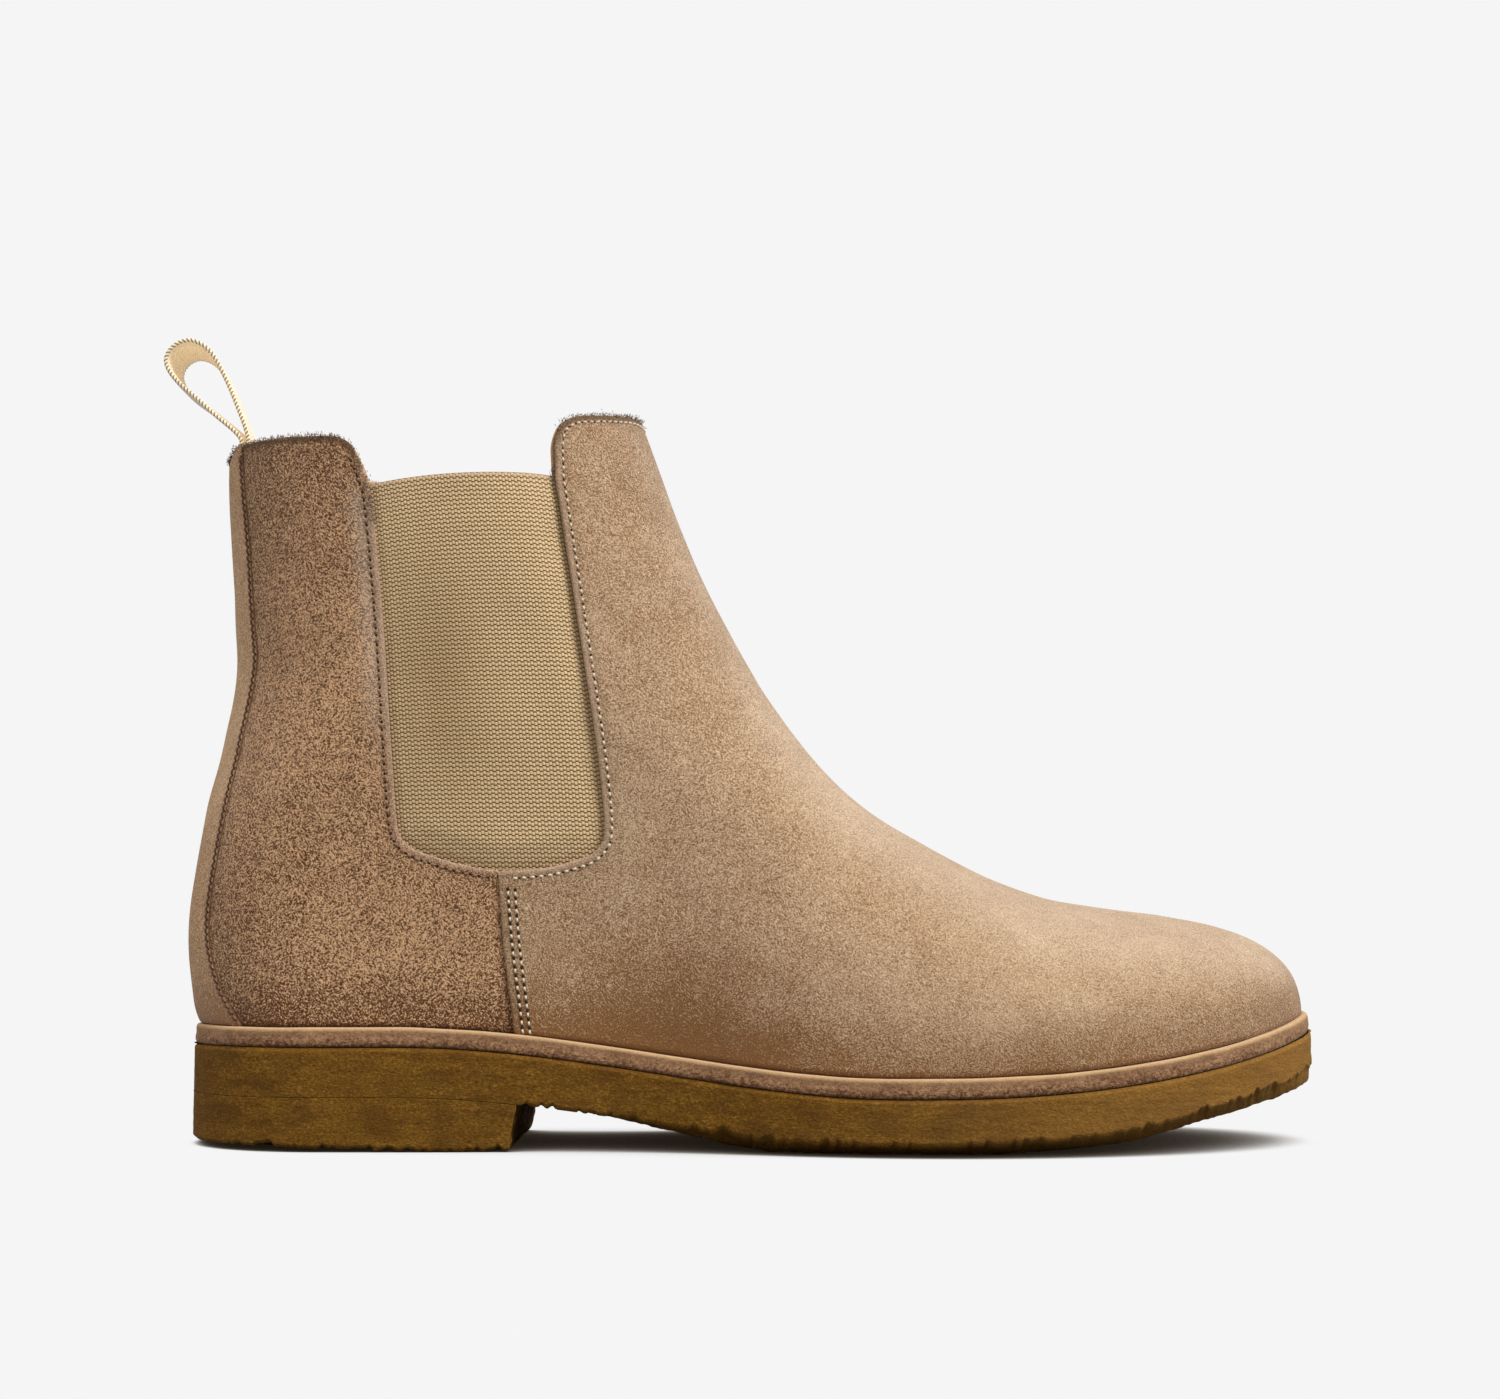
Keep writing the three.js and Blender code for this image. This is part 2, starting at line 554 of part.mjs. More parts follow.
const padBottom = above(BOARD.top + GAP);
const padTaper = (x) => smooth(x, HEEL_PAD.taperStart, HEEL_PAD.front);
const padThickness = (x) => mix(HEEL_PAD.thick, HEEL_PAD.thin, padTaper(x));
const padTop = (x) => padBottom(x) + padThickness(x);
add('heel_pad', solePlate({
  inset: INSIDE + HEEL_PAD.narrower,
  bottom: padBottom,
  top: padTop,
  toX: HEEL_PAD.front,
  stations: INNER_STATIONS,
}), LATEX_FOAM, NAPPED);
const sockBottom = (x) => padBottom(x) + mix(SOCK.overPad, 0, smooth(x, SOCK.taperStart, SOCK.taperEnd));
add('sock_liner', solePlate({
  inset: INSIDE + SOCK.narrower, bottom: sockBottom, top: (x) => sockBottom(x) + SOCK.thickness,
  stations: INNER_STATIONS,
}), LEATHER, SMOOTH_LEATHER);

// Pull loop: a folded strap, rounded where it hinges on its stitching. Each face of the strap is the
// centre line moved sideways, leaving out the steps next to the base where the two faces meet.
const loopLine = splineOf([LOOP_BASE, ...LOOP_CENTRE_LINE, LOOP_BASE]);
function loopFace(offset, skip) {
  const points = [];
  for (let i = skip; i <= LOOP_STEPS - skip; i += 1) {
    const p = loopLine.getPointAt(i / LOOP_STEPS);
    const direction = loopLine.getTangentAt(i / LOOP_STEPS);
    points.push([p.x + direction.y * offset, p.y - direction.x * offset]);
  }
  return points;
}
const OUTER_SKIP = 1;
const INNER_SKIP = 3;
const HINGE_FACETS = 14;
const root = new THREE.CylinderGeometry(HINGE_ROUND, HINGE_ROUND, WEB_WIDTH, HINGE_FACETS);
root.translate(LOOP_BASE[0], 0, LOOP_BASE[1]);
const outerFace = [LOOP_BASE, ...loopFace(-WEB_THICKNESS / 2, OUTER_SKIP)];
const innerFace = loopFace(WEB_THICKNESS / 2, INNER_SKIP);
const strap = sideBlock(outerFace, -WEB_WIDTH / 2, WEB_WIDTH / 2)
  .subtract(sideBlock(innerFace, -WEB_WIDTH, WEB_WIDTH))
  .add(solid(root));
add('pull_tab', strap, WEBBING, NAPPED);

// The origin is on the floor at the middle of the whole boot's box.
const box = new THREE.Box3().setFromObject(boot, true);
boot.position.set(-(box.min.x + box.max.x) / 2, -(box.min.y + box.max.y) / 2, -box.min.z);

export default boot;
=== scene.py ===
import math

import bmesh
import bpy
import numpy as np
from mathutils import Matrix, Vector


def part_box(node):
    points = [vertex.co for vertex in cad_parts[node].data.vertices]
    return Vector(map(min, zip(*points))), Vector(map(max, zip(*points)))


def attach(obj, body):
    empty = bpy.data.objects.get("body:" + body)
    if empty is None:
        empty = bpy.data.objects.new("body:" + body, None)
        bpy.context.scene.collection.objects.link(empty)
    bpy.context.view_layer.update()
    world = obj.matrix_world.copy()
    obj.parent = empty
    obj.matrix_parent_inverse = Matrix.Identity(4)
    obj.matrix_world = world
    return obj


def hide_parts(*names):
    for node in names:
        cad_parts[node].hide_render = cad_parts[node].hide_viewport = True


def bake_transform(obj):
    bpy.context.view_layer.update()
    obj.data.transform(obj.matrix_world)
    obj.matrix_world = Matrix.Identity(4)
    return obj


# A suede chelsea boot, right foot, in a pale studio. The shapes below are worked out in millimetres
# in the boot's own side view (x from the middle of the sole, z above the floor, the outer side of
# the foot at -y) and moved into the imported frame, in metres, as each mesh is made.

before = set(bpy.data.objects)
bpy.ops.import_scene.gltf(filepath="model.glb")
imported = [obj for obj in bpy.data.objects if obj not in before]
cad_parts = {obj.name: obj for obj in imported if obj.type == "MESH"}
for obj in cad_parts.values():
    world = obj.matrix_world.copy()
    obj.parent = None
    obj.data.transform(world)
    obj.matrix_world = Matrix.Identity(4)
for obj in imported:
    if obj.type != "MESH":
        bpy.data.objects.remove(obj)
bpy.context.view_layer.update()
MM = 0.001

# ---- Driving dimensions, the same as the CAD model's ----

SOLE_REAR = -147.6
SOLE_TIP = 150.6
HEEL_ROUND = 37
TOE_ROUND_START = 50
TOE_ROUND_POWER = 2.5
TOE_SWING = 7
# Half widths of the sole and the shaft, and roundings of the back, are knots of a place and a size.
OUTER_HALF_WIDTH = [(-150, 35.5), (-95, 35.5), (-30, 36.5), (25, 51), (60, 54), (150, 54)]
INNER_HALF_WIDTH = [(-150, 35.5), (-95, 35.5), (-30, 31), (20, 42), (60, 51.5), (150, 52)]

BALL_X = 36
BALL_TOP = 19
HEEL_RISE = 11.9
HEEL_RISE_LENGTH = 126
TOE_SPRING = 14.7
TOE_SPRING_POWER = 2.4

RAND_HEIGHT = 4.5
OUTSOLE_DEPTH = 12.2
FORE_THINNING = 1.4
FORE_THINNING_SPAN = (0, 35)
TIP_THINNING = 1.7
TIP_THINNING_SPAN = (92, 120)
TREAD_CROWN = 3.8
BREAST_TOP_X = -58.8
BREAST_BOTTOM_X = -61

FRONT_LINE = [
    (-31.5, 199), (-18.8, 164.2), (-8.1, 140.7), (5.3, 117.3), (24.2, 94), (45.7, 79.2),
    (76, 65), (111.7, 59.4), (126.1, 56.6), (137, 52.2), (144.6, 45.8), (147.6, 38.2), (147.9, 32),
]
BACK_LINE = [
    (-140.4, 199), (-141.2, 173.7), (-138.9, 142.8), (-137.9, 124.3), (-141, 105.7), (-145.6, 85.4),
    (-149.4, 57.7), (-148, 38), (-146, 31),
]
UPPER_INSET = 2.8
UPPER_TIP = 147.9
SHAFT_HALF_WIDTH = [(60, 35), (95, 35.5), (125, 36), (160, 37.8), (200, 39)]
SHAFT_FRONT_ROUND = 58
BACK_ROUND = [(30, 34), (80, 34), (150, 46), (200, 52)]
SHAFT_BLEND = (45, 115)
FOREFOOT_BLEND = (-50, 30)
CROWN_RISE_POWER = 2.4
CROWN_WIDTH_POWER = 0.52

GORE_REAR_EDGE = [(-97.8, 169.6), (-95.6, 150.8), (-93.6, 128.4), (-92.1, 106), (-90.5, 84)]
GORE_FRONT_EDGE = [(-37.2, 84), (-39.4, 103.8), (-44.9, 139.6), (-50.2, 172.4)]
SIDE_SEAM = [(-64.4, 69.3), (-62.9, 52), (-59.8, 28)]
BACKSTAY_SEAM = [
    (-135.9, 190), (-133.4, 165.8), (-130.6, 135.4), (-129.8, 124), (-132.9, 105), (-136.9, 85),
    (-140.7, 58), (-137.2, 42), (-130.4, 31.3),
]
SIDES = ((-1, "outer"), (1, "inner"))

# Where the boot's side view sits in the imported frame.
SHIFT = np.array([
    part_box("rand")[0][0] / MM - SOLE_REAR,
    (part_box("pull_tab")[0][1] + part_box("pull_tab")[1][1]) / 2 / MM,
    0.0,
])

# ---- Numeric helpers ----


def mix(a, b, k):
    return a + (b - a) * k


def unit(vectors):
    return vectors / np.linalg.norm(vectors, axis=-1, keepdims=True)


def smooth(x, low, high):
    k = np.clip((x - low) / (high - low), 0, 1)
    return k * k * (3 - 2 * k)


def through(knots, position):
    """Smooth curve through (position, value) knots, level beyond both ends."""
    at = np.array([k[0] for k in knots], float)
    value = np.array([k[1] for k in knots], float)
    slope = np.empty_like(value)
    chord = np.diff(value) / np.diff(at)
    slope[0], slope[-1] = chord[0], chord[-1]
    slope[1:-1] = (value[2:] - value[:-2]) / (at[2:] - at[:-2])
    position = np.clip(position, at[0], at[-1])
    i = np.clip(np.searchsorted(at, position, side="right") - 1, 0, len(at) - 2)
    span = at[i + 1] - at[i]
    t = (position - at[i]) / span
    t2, t3 = t * t, t * t * t
    return (
        value[i] * (2 * t3 - 3 * t2 + 1) + value[i + 1] * (3 * t2 - 2 * t3)
        + span * (slope[i] * (t3 - 2 * t2 + t) + slope[i + 1] * (t3 - t2))
    )


def spline(points, per_span=24):
    """Catmull-Rom curve through 2-D points, as many short straight steps."""
    p = np.array(points, float)
    p = np.vstack([p[0], p, p[-1]])
    t = np.linspace(0, 1, per_span, endpoint=False)[:, None]
    out = []
    for a, b, c, d in zip(p[:-3], p[1:-2], p[2:-1], p[3:]):
        v0, v1 = (c - a) / 2, (d - b) / 2
        cubic = (2 * b - 2 * c + v0 + v1) * t ** 3
        square = (-3 * b + 3 * c - 2 * v0 - v1) * t ** 2
        out.append(cubic + square + v0 * t + b)
    return np.vstack(out + [p[-1:]])


class ByLength:
    """A polyline read by the share of its length."""

    def __init__(self, points):
        self.points = np.asarray(points, float)
        steps = np.linalg.norm(np.diff(self.points, axis=0), axis=1)
        self.at = np.concatenate([[0], np.cumsum(steps)])
        self.length = self.at[-1]

    def __call__(self, share):
        where = np.asarray(share) * self.length
        return np.stack([np.interp(where, self.at, axis) for axis in self.points.T], axis=-1)


def noise(points, size, seed):
    """Smooth value noise from -1 to 1 over points in millimetres, with blobs of the given size."""
    table = np.random.default_rng(seed).random(8192) * 2 - 1
    p = np.atleast_2d(points) / size
    cell = np.floor(p).astype(np.int64)
    f = p - cell
    f = f * f * (3 - 2 * f)
    primes = (73856093, 19349663, 83492791)[: p.shape[1]]
    total = np.zeros(len(p))
    for corner in np.ndindex(*(2,) * p.shape[1]):
        key = np.zeros(len(p), np.int64)
        weight = np.ones(len(p))
        for axis, bit in enumerate(corner):
            key ^= (cell[:, axis] + bit) * primes[axis]
            weight *= f[:, axis] if bit else 1 - f[:, axis]
        total += weight * table[key & 8191]
    return total


FRONT = ByLength(spline(FRONT_LINE))
BACK = ByLength(spline(BACK_LINE))


def round_in(depth, radius):
    """Quarter-round edge: 0 at the edge, 1 from a radius inward."""
    k = 1 - np.clip(depth / radius, 0, 1)
    return np.sqrt(1 - k * k)


# ---- Shape of the foot ----


def rand_top(x):
    heel = HEEL_RISE * smooth(BALL_X - x, 0, HEEL_RISE_LENGTH)
    toe = TOE_SPRING * np.maximum(0, (x - BALL_X) / (150 - BALL_X)) ** TOE_SPRING_POWER
    return BALL_TOP + heel + toe


def outline_middle(x):
    return TOE_SWING * smooth(x, 40, 155)


def toe_narrowing(x, tip):
    k = np.clip((x - TOE_ROUND_START) / (tip - TOE_ROUND_START), 0, 1)
    return np.sqrt(1 - k ** TOE_ROUND_POWER)


def full_half_width(x, side):
    return np.where(side < 0, through(OUTER_HALF_WIDTH, x), through(INNER_HALF_WIDTH, x))


def outline_half(x, side, inset):
    narrowing = toe_narrowing(x, SOLE_TIP - inset) * round_in(x - SOLE_REAR - inset, HEEL_ROUND - inset)
    return (full_half_width(x, side) - inset) * narrowing


def upper_half(x, z, side, back_x, front_x):
    foot = full_half_width(x, side) - UPPER_INSET
    shaft = mix(foot, through(SHAFT_HALF_WIDTH, z), smooth(z, *SHAFT_BLEND))
    rounding = round_in(x - back_x, through(BACK_ROUND, z)) * round_in(front_x - x, SHAFT_FRONT_ROUND)
    base = rand_top(x)
    top = np.interp(x, FRONT.points[:, 0], FRONT.points[:, 1])
    rise = np.clip((z - base) / np.maximum(top - base, 1), 0, 1)
    crown = (1 - rise ** CROWN_RISE_POWER) ** CROWN_WIDTH_POWER
    forefoot = foot * toe_narrowing(x, UPPER_TIP) * crown
    return mix(shaft * rounding, forefoot, smooth(x, *FOREFOOT_BLEND))


def ring_line(along, down):
    """Side view of the ring at down: its x and z, and its back and front ends' x."""
    level = np.minimum(down, 1)
    back, front = BACK(level), FRONT(level)
    x = mix(back[..., 0], front[..., 0], along)
    straight = mix(back[..., 1], front[..., 1], along)
    floor = rand_top(x) - mix(rand_top(back[..., 0]), rand_top(front[..., 0]), along)
    z = straight + floor * level ** 3 - np.maximum(down - 1, 0) * 100
    return x, z, back[..., 0], front[..., 0]


def upper_points(along, down, side):
    x, z, back_x, front_x = ring_line(along, down)
    y = outline_middle(x) + side * upper_half(x, z, side, back_x, front_x)
    return np.stack([x, y, z], axis=-1)


def surface_at(x, z, side):
    """Points of the upper's outer face straight above side-view places, and outward normals."""
    x, z = np.asarray(x, float), np.asarray(z, float)

    def depth(px, pz):
        low, high = np.zeros_like(px), np.full_like(px, 1.05)
        for _ in range(26):
            middle = (low + high) / 2
            level = np.minimum(middle, 1)
            back, front = BACK(level), FRONT(level)
            along = np.clip((px - back[..., 0]) / (front[..., 0] - back[..., 0]), 0, 1)
            ring_z = ring_line(along, middle)[1]
            low = np.where(ring_z > pz, middle, low)
            high = np.where(ring_z > pz, high, middle)
        level = np.minimum((low + high) / 2, 1)
        half = upper_half(px, pz, side, BACK(level)[..., 0], FRONT(level)[..., 0])
        return outline_middle(px) + side * half

    step = 0.4
    y = depth(x, z)
    slope_x = (depth(x + step, z) - depth(x - step, z)) / (2 * step)
    slope_z = (depth(x, z + step) - depth(x, z - step)) / (2 * step)
    normal = np.stack([-slope_x * side, np.full_like(x, 1.0) * side, -slope_z * side], axis=-1)
    return np.stack([x, y, z], axis=-1), unit(normal)


# ---- Sheets that can be cut along level lines ----


def triangle_edges(faces):
    """The three edges of each triangle in turn, each with its lower vertex number first."""
    return np.sort(np.stack([faces, np.roll(faces, -1, 1)], -1).reshape(-1, 2), axis=1)


class Sheet:
    """Triangles with a point, an outward normal and named values at each vertex."""

    def __init__(self, points, normals, faces, **values):
        self.points, self.normals, self.faces = points, normals, faces
        self.values = values

    def copy(self):
        return Sheet(self.points, self.normals, self.faces, **dict(self.values))

    def between(self, a, b, share):
        """Points and normals part of the way along the edges from vertices a to b."""
        return mix(self.points[a], self.points[b], share), unit(mix(self.normals[a], self.normals[b], share))

    def split(self, name, level):
        """Cuts the triangles that the level line of a value crosses."""
        value = self.values[name].copy()
        value[np.abs(value - level) < 0.02] = level
        self.values[name] = value
        sign = np.sign(value - level)
        corner = sign[self.faces]
        crossed = (corner.min(1) < 0) & (corner.max(1) > 0)
        cut = self.faces[crossed]
        sign_cut = corner[crossed]
        if not len(cut):
            return self
        edges = triangle_edges(cut)
        crossing = sign[edges[:, 0]] * sign[edges[:, 1]] < 0
        unique, back = np.unique(edges[crossing], axis=0, return_inverse=True)
        made = np.full(len(edges), -1)
        made[crossing] = len(self.points) + back.reshape(-1)
        made = made.reshape(-1, 3)
        a, b = unique.T
        share = ((level - value[a]) / (value[b] - value[a]))[:, None]
        points, normals = self.between(a, b, share)
        self.points = np.vstack([self.points, points])
        self.normals = np.vstack([self.normals, normals])
        for key, old in self.values.items():
            self.values[key] = np.concatenate([old, mix(old[a], old[b], share[:, 0])])
        self.values[name][-len(a):] = level
        pieces = [self.faces[~crossed]]
        has_zero = (sign_cut == 0).any(1)
        for first in range(3):
            second, third = (first + 1) % 3, (first + 2) % 3
            rows = has_zero & (sign_cut[:, first] == 0)
            v, middle = cut[rows], made[rows][:, second]
            pieces.append(np.stack([v[:, first], v[:, second], middle], 1))
            pieces.append(np.stack([v[:, first], middle, v[:, third]], 1))
            rows = ~has_zero & (sign_cut[:, second] == sign_cut[:, third])
            v, m = cut[rows], made[rows]
            pieces.append(np.stack([v[:, first], m[:, first], m[:, third]], 1))
            pieces.append(np.stack([m[:, first], v[:, second], v[:, third]], 1))
            pieces.append(np.stack([m[:, first], v[:, third], m[:, third]], 1))
        self.faces = np.vstack(pieces)
        return self

    def keep(self, name, level=0.0):
        """Drops the triangles on the low side of a level line."""
        middle = self.values[name][self.faces].mean(1)
        self.faces = self.faces[middle > level]
        used, faces = np.unique(self.faces, return_inverse=True)
        self.faces = faces.reshape(-1, 3)
        self.points, self.normals = self.points[used], self.normals[used]
        self.values = {key: old[used] for key, old in self.values.items()}
        return self

    def rim(self):
        """True at the vertices on an open edge."""
        edges = triangle_edges(self.faces)
        unique, count = np.unique(edges, axis=0, return_counts=True)
        open_edge = np.zeros(len(self.points), bool)
        open_edge[unique[count == 1].reshape(-1)] = True
        return open_edge

    def level_lines(self, name, level):
        """The level line of a value, as chains of points and normals."""
        value = self.values[name] - level
        value = np.where(np.abs(value) < 1e-6, 1e-6, value)
        inside = value > 0
        corner = inside[self.faces]
        crossed = corner.any(1) & ~corner.all(1)
        cut = self.faces[crossed]
        edges = triangle_edges(cut)
        crossing = inside[edges[:, 0]] != inside[edges[:, 1]]
        unique, back = np.unique(edges[crossing], axis=0, return_inverse=True)
        pairs = back.reshape(-1, 2)
        a, b = unique.T
        share = (-value[a] / (value[b] - value[a]))[:, None]
        points, normals = self.between(a, b, share)
        links = {}
        for p, q in pairs:
            links.setdefault(int(p), []).append(int(q))
            links.setdefault(int(q), []).append(int(p))
        chains, seen = [], set()
        starts = sorted(links, key=lambda k: (len(links[k]) != 1, k))
        for start in starts:
            if start in seen:
                continue
            chain, current = [start], start
            seen.add(start)
            while True:
                onward = [k for k in links[current] if k not in seen]
                if not onward:
                    break
                current = onward[0]
                seen.add(current)
                chain.append(current)
            if len(chain) > 3:
                if start in links[current] and len(links[start]) == 2:
                    chain.append(start)
                chain = np.array(chain)
                chains.append((points[chain], normals[chain]))
        return chains


def grid_faces(rows, columns, closed):
    """Triangles of a grid of points, row by row, wound for normals on the outside."""
    i, j = np.meshgrid(np.arange(rows - 1), np.arange(columns if closed else columns - 1), indexing="ij")
    k = (j + 1) % columns
    a, b = i * columns + j, (i + 1) * columns + j
    c, d = (i + 1) * columns + k, i * columns + k
    return np.vstack([np.stack(corners, -1).reshape(-1, 3) for corners in ([a, b, c], [a, c, d])])


def grid_normals(points, closed):
    """Unit normals of a grid of points (rows, columns, 3)."""
    down = np.gradient(points, axis=0)
    if closed:
        across = np.roll(points, -1, 1) - np.roll(points, 1, 1)
    else:
        across = np.gradient(points, axis=1)
    normal = np.cross(down, across)
    return normal / np.maximum(np.linalg.norm(normal, axis=-1, keepdims=True), 1e-9)


def upper_sheet(rings, steps):
    """The whole upper's outer face as one sheet."""
    down = np.concatenate([np.linspace(0, 1, rings), [1.03]])
    forward = np.linspace(0, 1, steps, endpoint=False)
    turn = np.concatenate([forward, 1 - forward])
    along = mix((1 - np.cos(np.pi * turn)) / 2, turn, 0.25)
    side = np.where(np.arange(2 * steps) < steps + 1, -1.0, 1.0)
    along, down = np.meshgrid(along, down)
    points = upper_points(along, down, side[None, :])
    normals = grid_normals(points, True)
    normals[-1] = normals[-2]
    normals = -normals if np.mean(normals[:, steps // 2, 1]) > 0 else normals
    flat = points.reshape(-1, 3)
    faces = grid_faces(rings + 1, 2 * steps, True)
    return Sheet(flat, normals.reshape(-1, 3), faces, foot=flat[:, 2] - rand_top(flat[:, 0]))


# ---- Side-view outlines ----


def outline_distance(points, outline):
    """Signed distance to a closed side-view outline, inside positive, and its direction."""
    p = np.stack([points[:, 0], points[:, 2]], 1)
    outline = np.asarray(outline, float)
    start, end = outline, np.roll(outline, -1, 0)
    best = np.full(len(p), 1e9)
    direction = np.zeros_like(p)
    inside = np.zeros(len(p), bool)
    for a, b in zip(start, end):
        edge = b - a
        length = edge @ edge
        if length < 1e-12:
            continue
        share = np.clip(((p - a) @ edge) / length, 0, 1)[:, None]
        offset = p - (a + share * edge)
        distance = np.einsum("ij,ij->i", offset, offset)
        nearer = distance < best
        best[nearer] = distance[nearer]
        direction[nearer] = offset[nearer]
        if a[1] != b[1]:
            spans = (a[1] > p[:, 1]) != (b[1] > p[:, 1])
            cross_x = a[0] + (p[:, 1] - a[1]) * edge[0] / edge[1]
            inside ^= spans & (p[:, 0] < cross_x)
    best = np.sqrt(best)
    direction /= np.maximum(best, 1e-9)[:, None]
    return np.where(inside, best, -best), direction


def true_distance(points, normals, outline):
    """Distance to an outline along the curved surface, from its side view."""
    flat, direction = outline_distance(points, outline)
    facing = normals[:, 0] * direction[:, 0] + normals[:, 2] * direction[:, 1]
    return flat / np.maximum(np.sqrt(np.maximum(1 - facing ** 2, 0)), 0.4)


GORE_CORNER_REAR = spline([(-90.5, 84), (-89.2, 79.2), (-85.6, 76.2), (-80.5, 74.4)], 6)
GORE_CORNER_FRONT = spline([(-45.4, 73.2), (-40.6, 75), (-37.6, 78.6), (-37.2, 84)], 6)
WINDOW = np.vstack([
    spline([(-100.4, 205), (-98.2, 173)] + GORE_REAR_EDGE, 6)[:-1],
    GORE_CORNER_REAR,
    spline([(-80.5, 74.4), (-74.5, 72.6), (-64.2, 70.9), (-52.1, 71.6), (-45.4, 73.2)], 6)[1:-1],
    GORE_CORNER_FRONT,
    spline(GORE_FRONT_EDGE + [(-56, 205)], 6)[1:],
])
SEAM_TOP = (-64.4, 70.9)
FRONT_CORNER = spline([
    (-50.3, 176), (-50.5, 182), (-49.4, 186.7), (-46, 189.5), (-41, 190.8), (-35.6, 191.9),
    (-30, 192.9), (-24, 192), (-10, 189),
], 6)
REAR_CORNER = spline([
    (-160, 181), (-142.5, 181), (-139.8, 181.8), (-137, 183.6), (-125, 183.8), (-113.6, 183.3),
    (-107.3, 182.8), (-103.4, 180.7), (-101, 176.6), (-99, 172), (-97.9, 169),
], 6)
side_seam = spline([SEAM_TOP] + SIDE_SEAM[1:] + [(-58, 5)], 6)
split_at = int(np.argmin(np.linalg.norm(WINDOW - SEAM_TOP, axis=1)))
window_rear, window_front = WINDOW[: split_at + 1], WINDOW[split_at:]

vamp_outline = np.vstack([
    side_seam[::-1], window_front[window_front[:, 1] < 175], FRONT_CORNER, [(60, 220), (240, 220), (240, 5)],
])
quarter_lap = 8
quarter_outline = np.vstack([
    [(-160, 5)], REAR_CORNER[REAR_CORNER[:, 1] > 169.5], window_rear[window_rear[:, 1] < 168],
    [(SEAM_TOP[0] + quarter_lap, SEAM_TOP[1] - 3), (-52, 40), (-50, 5)],
])
backstay_line = spline(BACKSTAY_SEAM, 6)
backstay_outline = np.vstack([
    [(-170, 5)], [(-170, 181), (-142.5, 181), (-139.8, 181.8), (-137, 183.6), (-135.4, 184)],
    backstay_line[backstay_line[:, 1] < 182], [(-127.5, 5)],
])


# ---- Turning sheets and lofts into objects ----


def linked(name, data):
    """A new object in the scene."""
    obj = bpy.data.objects.new(name, data)
    bpy.context.scene.collection.objects.link(obj)
    return obj


def new_object(name, points, faces, material, values=None):
    """A mesh object from points in side-view millimetres."""
    mesh = bpy.data.meshes.new(name)
    placed = (np.asarray(points, float) + SHIFT) * MM
    faces = np.asarray(faces)
    mesh.vertices.add(len(placed))
    mesh.vertices.foreach_set("co", placed.reshape(-1))
    sides = faces.shape[1]
    mesh.loops.add(faces.size)
    mesh.loops.foreach_set("vertex_index", faces.reshape(-1).astype(np.int32))
    mesh.polygons.add(len(faces))
    mesh.polygons.foreach_set("loop_start", np.arange(0, faces.size, sides, dtype=np.int32))
    mesh.polygons.foreach_set("use_smooth", np.ones(len(faces), bool))
    mesh.update(calc_edges=True)
    for key, value in (values or {}).items():
        attribute = mesh.attributes.new(key, "FLOAT", "POINT")
        attribute.data.foreach_set("value", np.asarray(value, np.float32))
    mesh.validate()
    mesh.materials.append(material)
    return linked(name, mesh)


def shell_of(sheet, outer, thickness, edge, edge_round):
    """Closes a cut sheet into a shell with rounded free edges.

    Also gives the function that carries the sheet's values over to the shell.
    """
    rim = sheet.rim()
    profile = round_in(np.maximum(edge, 0), edge_round)
    profile = np.where(rim, 0, np.maximum(profile, 0.12))
    middle = outer - thickness / 2
    lift = thickness / 2 * profile
    outside = sheet.points + sheet.normals * np.broadcast_to(middle + lift, len(rim))[:, None]
    inside = sheet.points + sheet.normals * np.broadcast_to(middle - lift, len(rim))[:, None]
    number = np.full(len(rim), -1)
    number[~rim] = len(rim) + np.arange((~rim).sum())
    number[rim] = np.nonzero(rim)[0]
    faces = np.vstack([sheet.faces, number[sheet.faces][:, ::-1]])

    def doubled(value):
        return np.concatenate([value, value[~rim]])

    return np.vstack([outside, inside[~rim]]), faces, doubled


# ---- Materials ----


def linear(red, green, blue):
    """A colour given as it shows on screen, from 0 to 255."""
    share = [c / 255 for c in (red, green, blue)]
    return tuple(c / 12.92 if c <= 0.04045 else ((c + 0.055) / 1.055) ** 2.4 for c in share) + (1.0,)


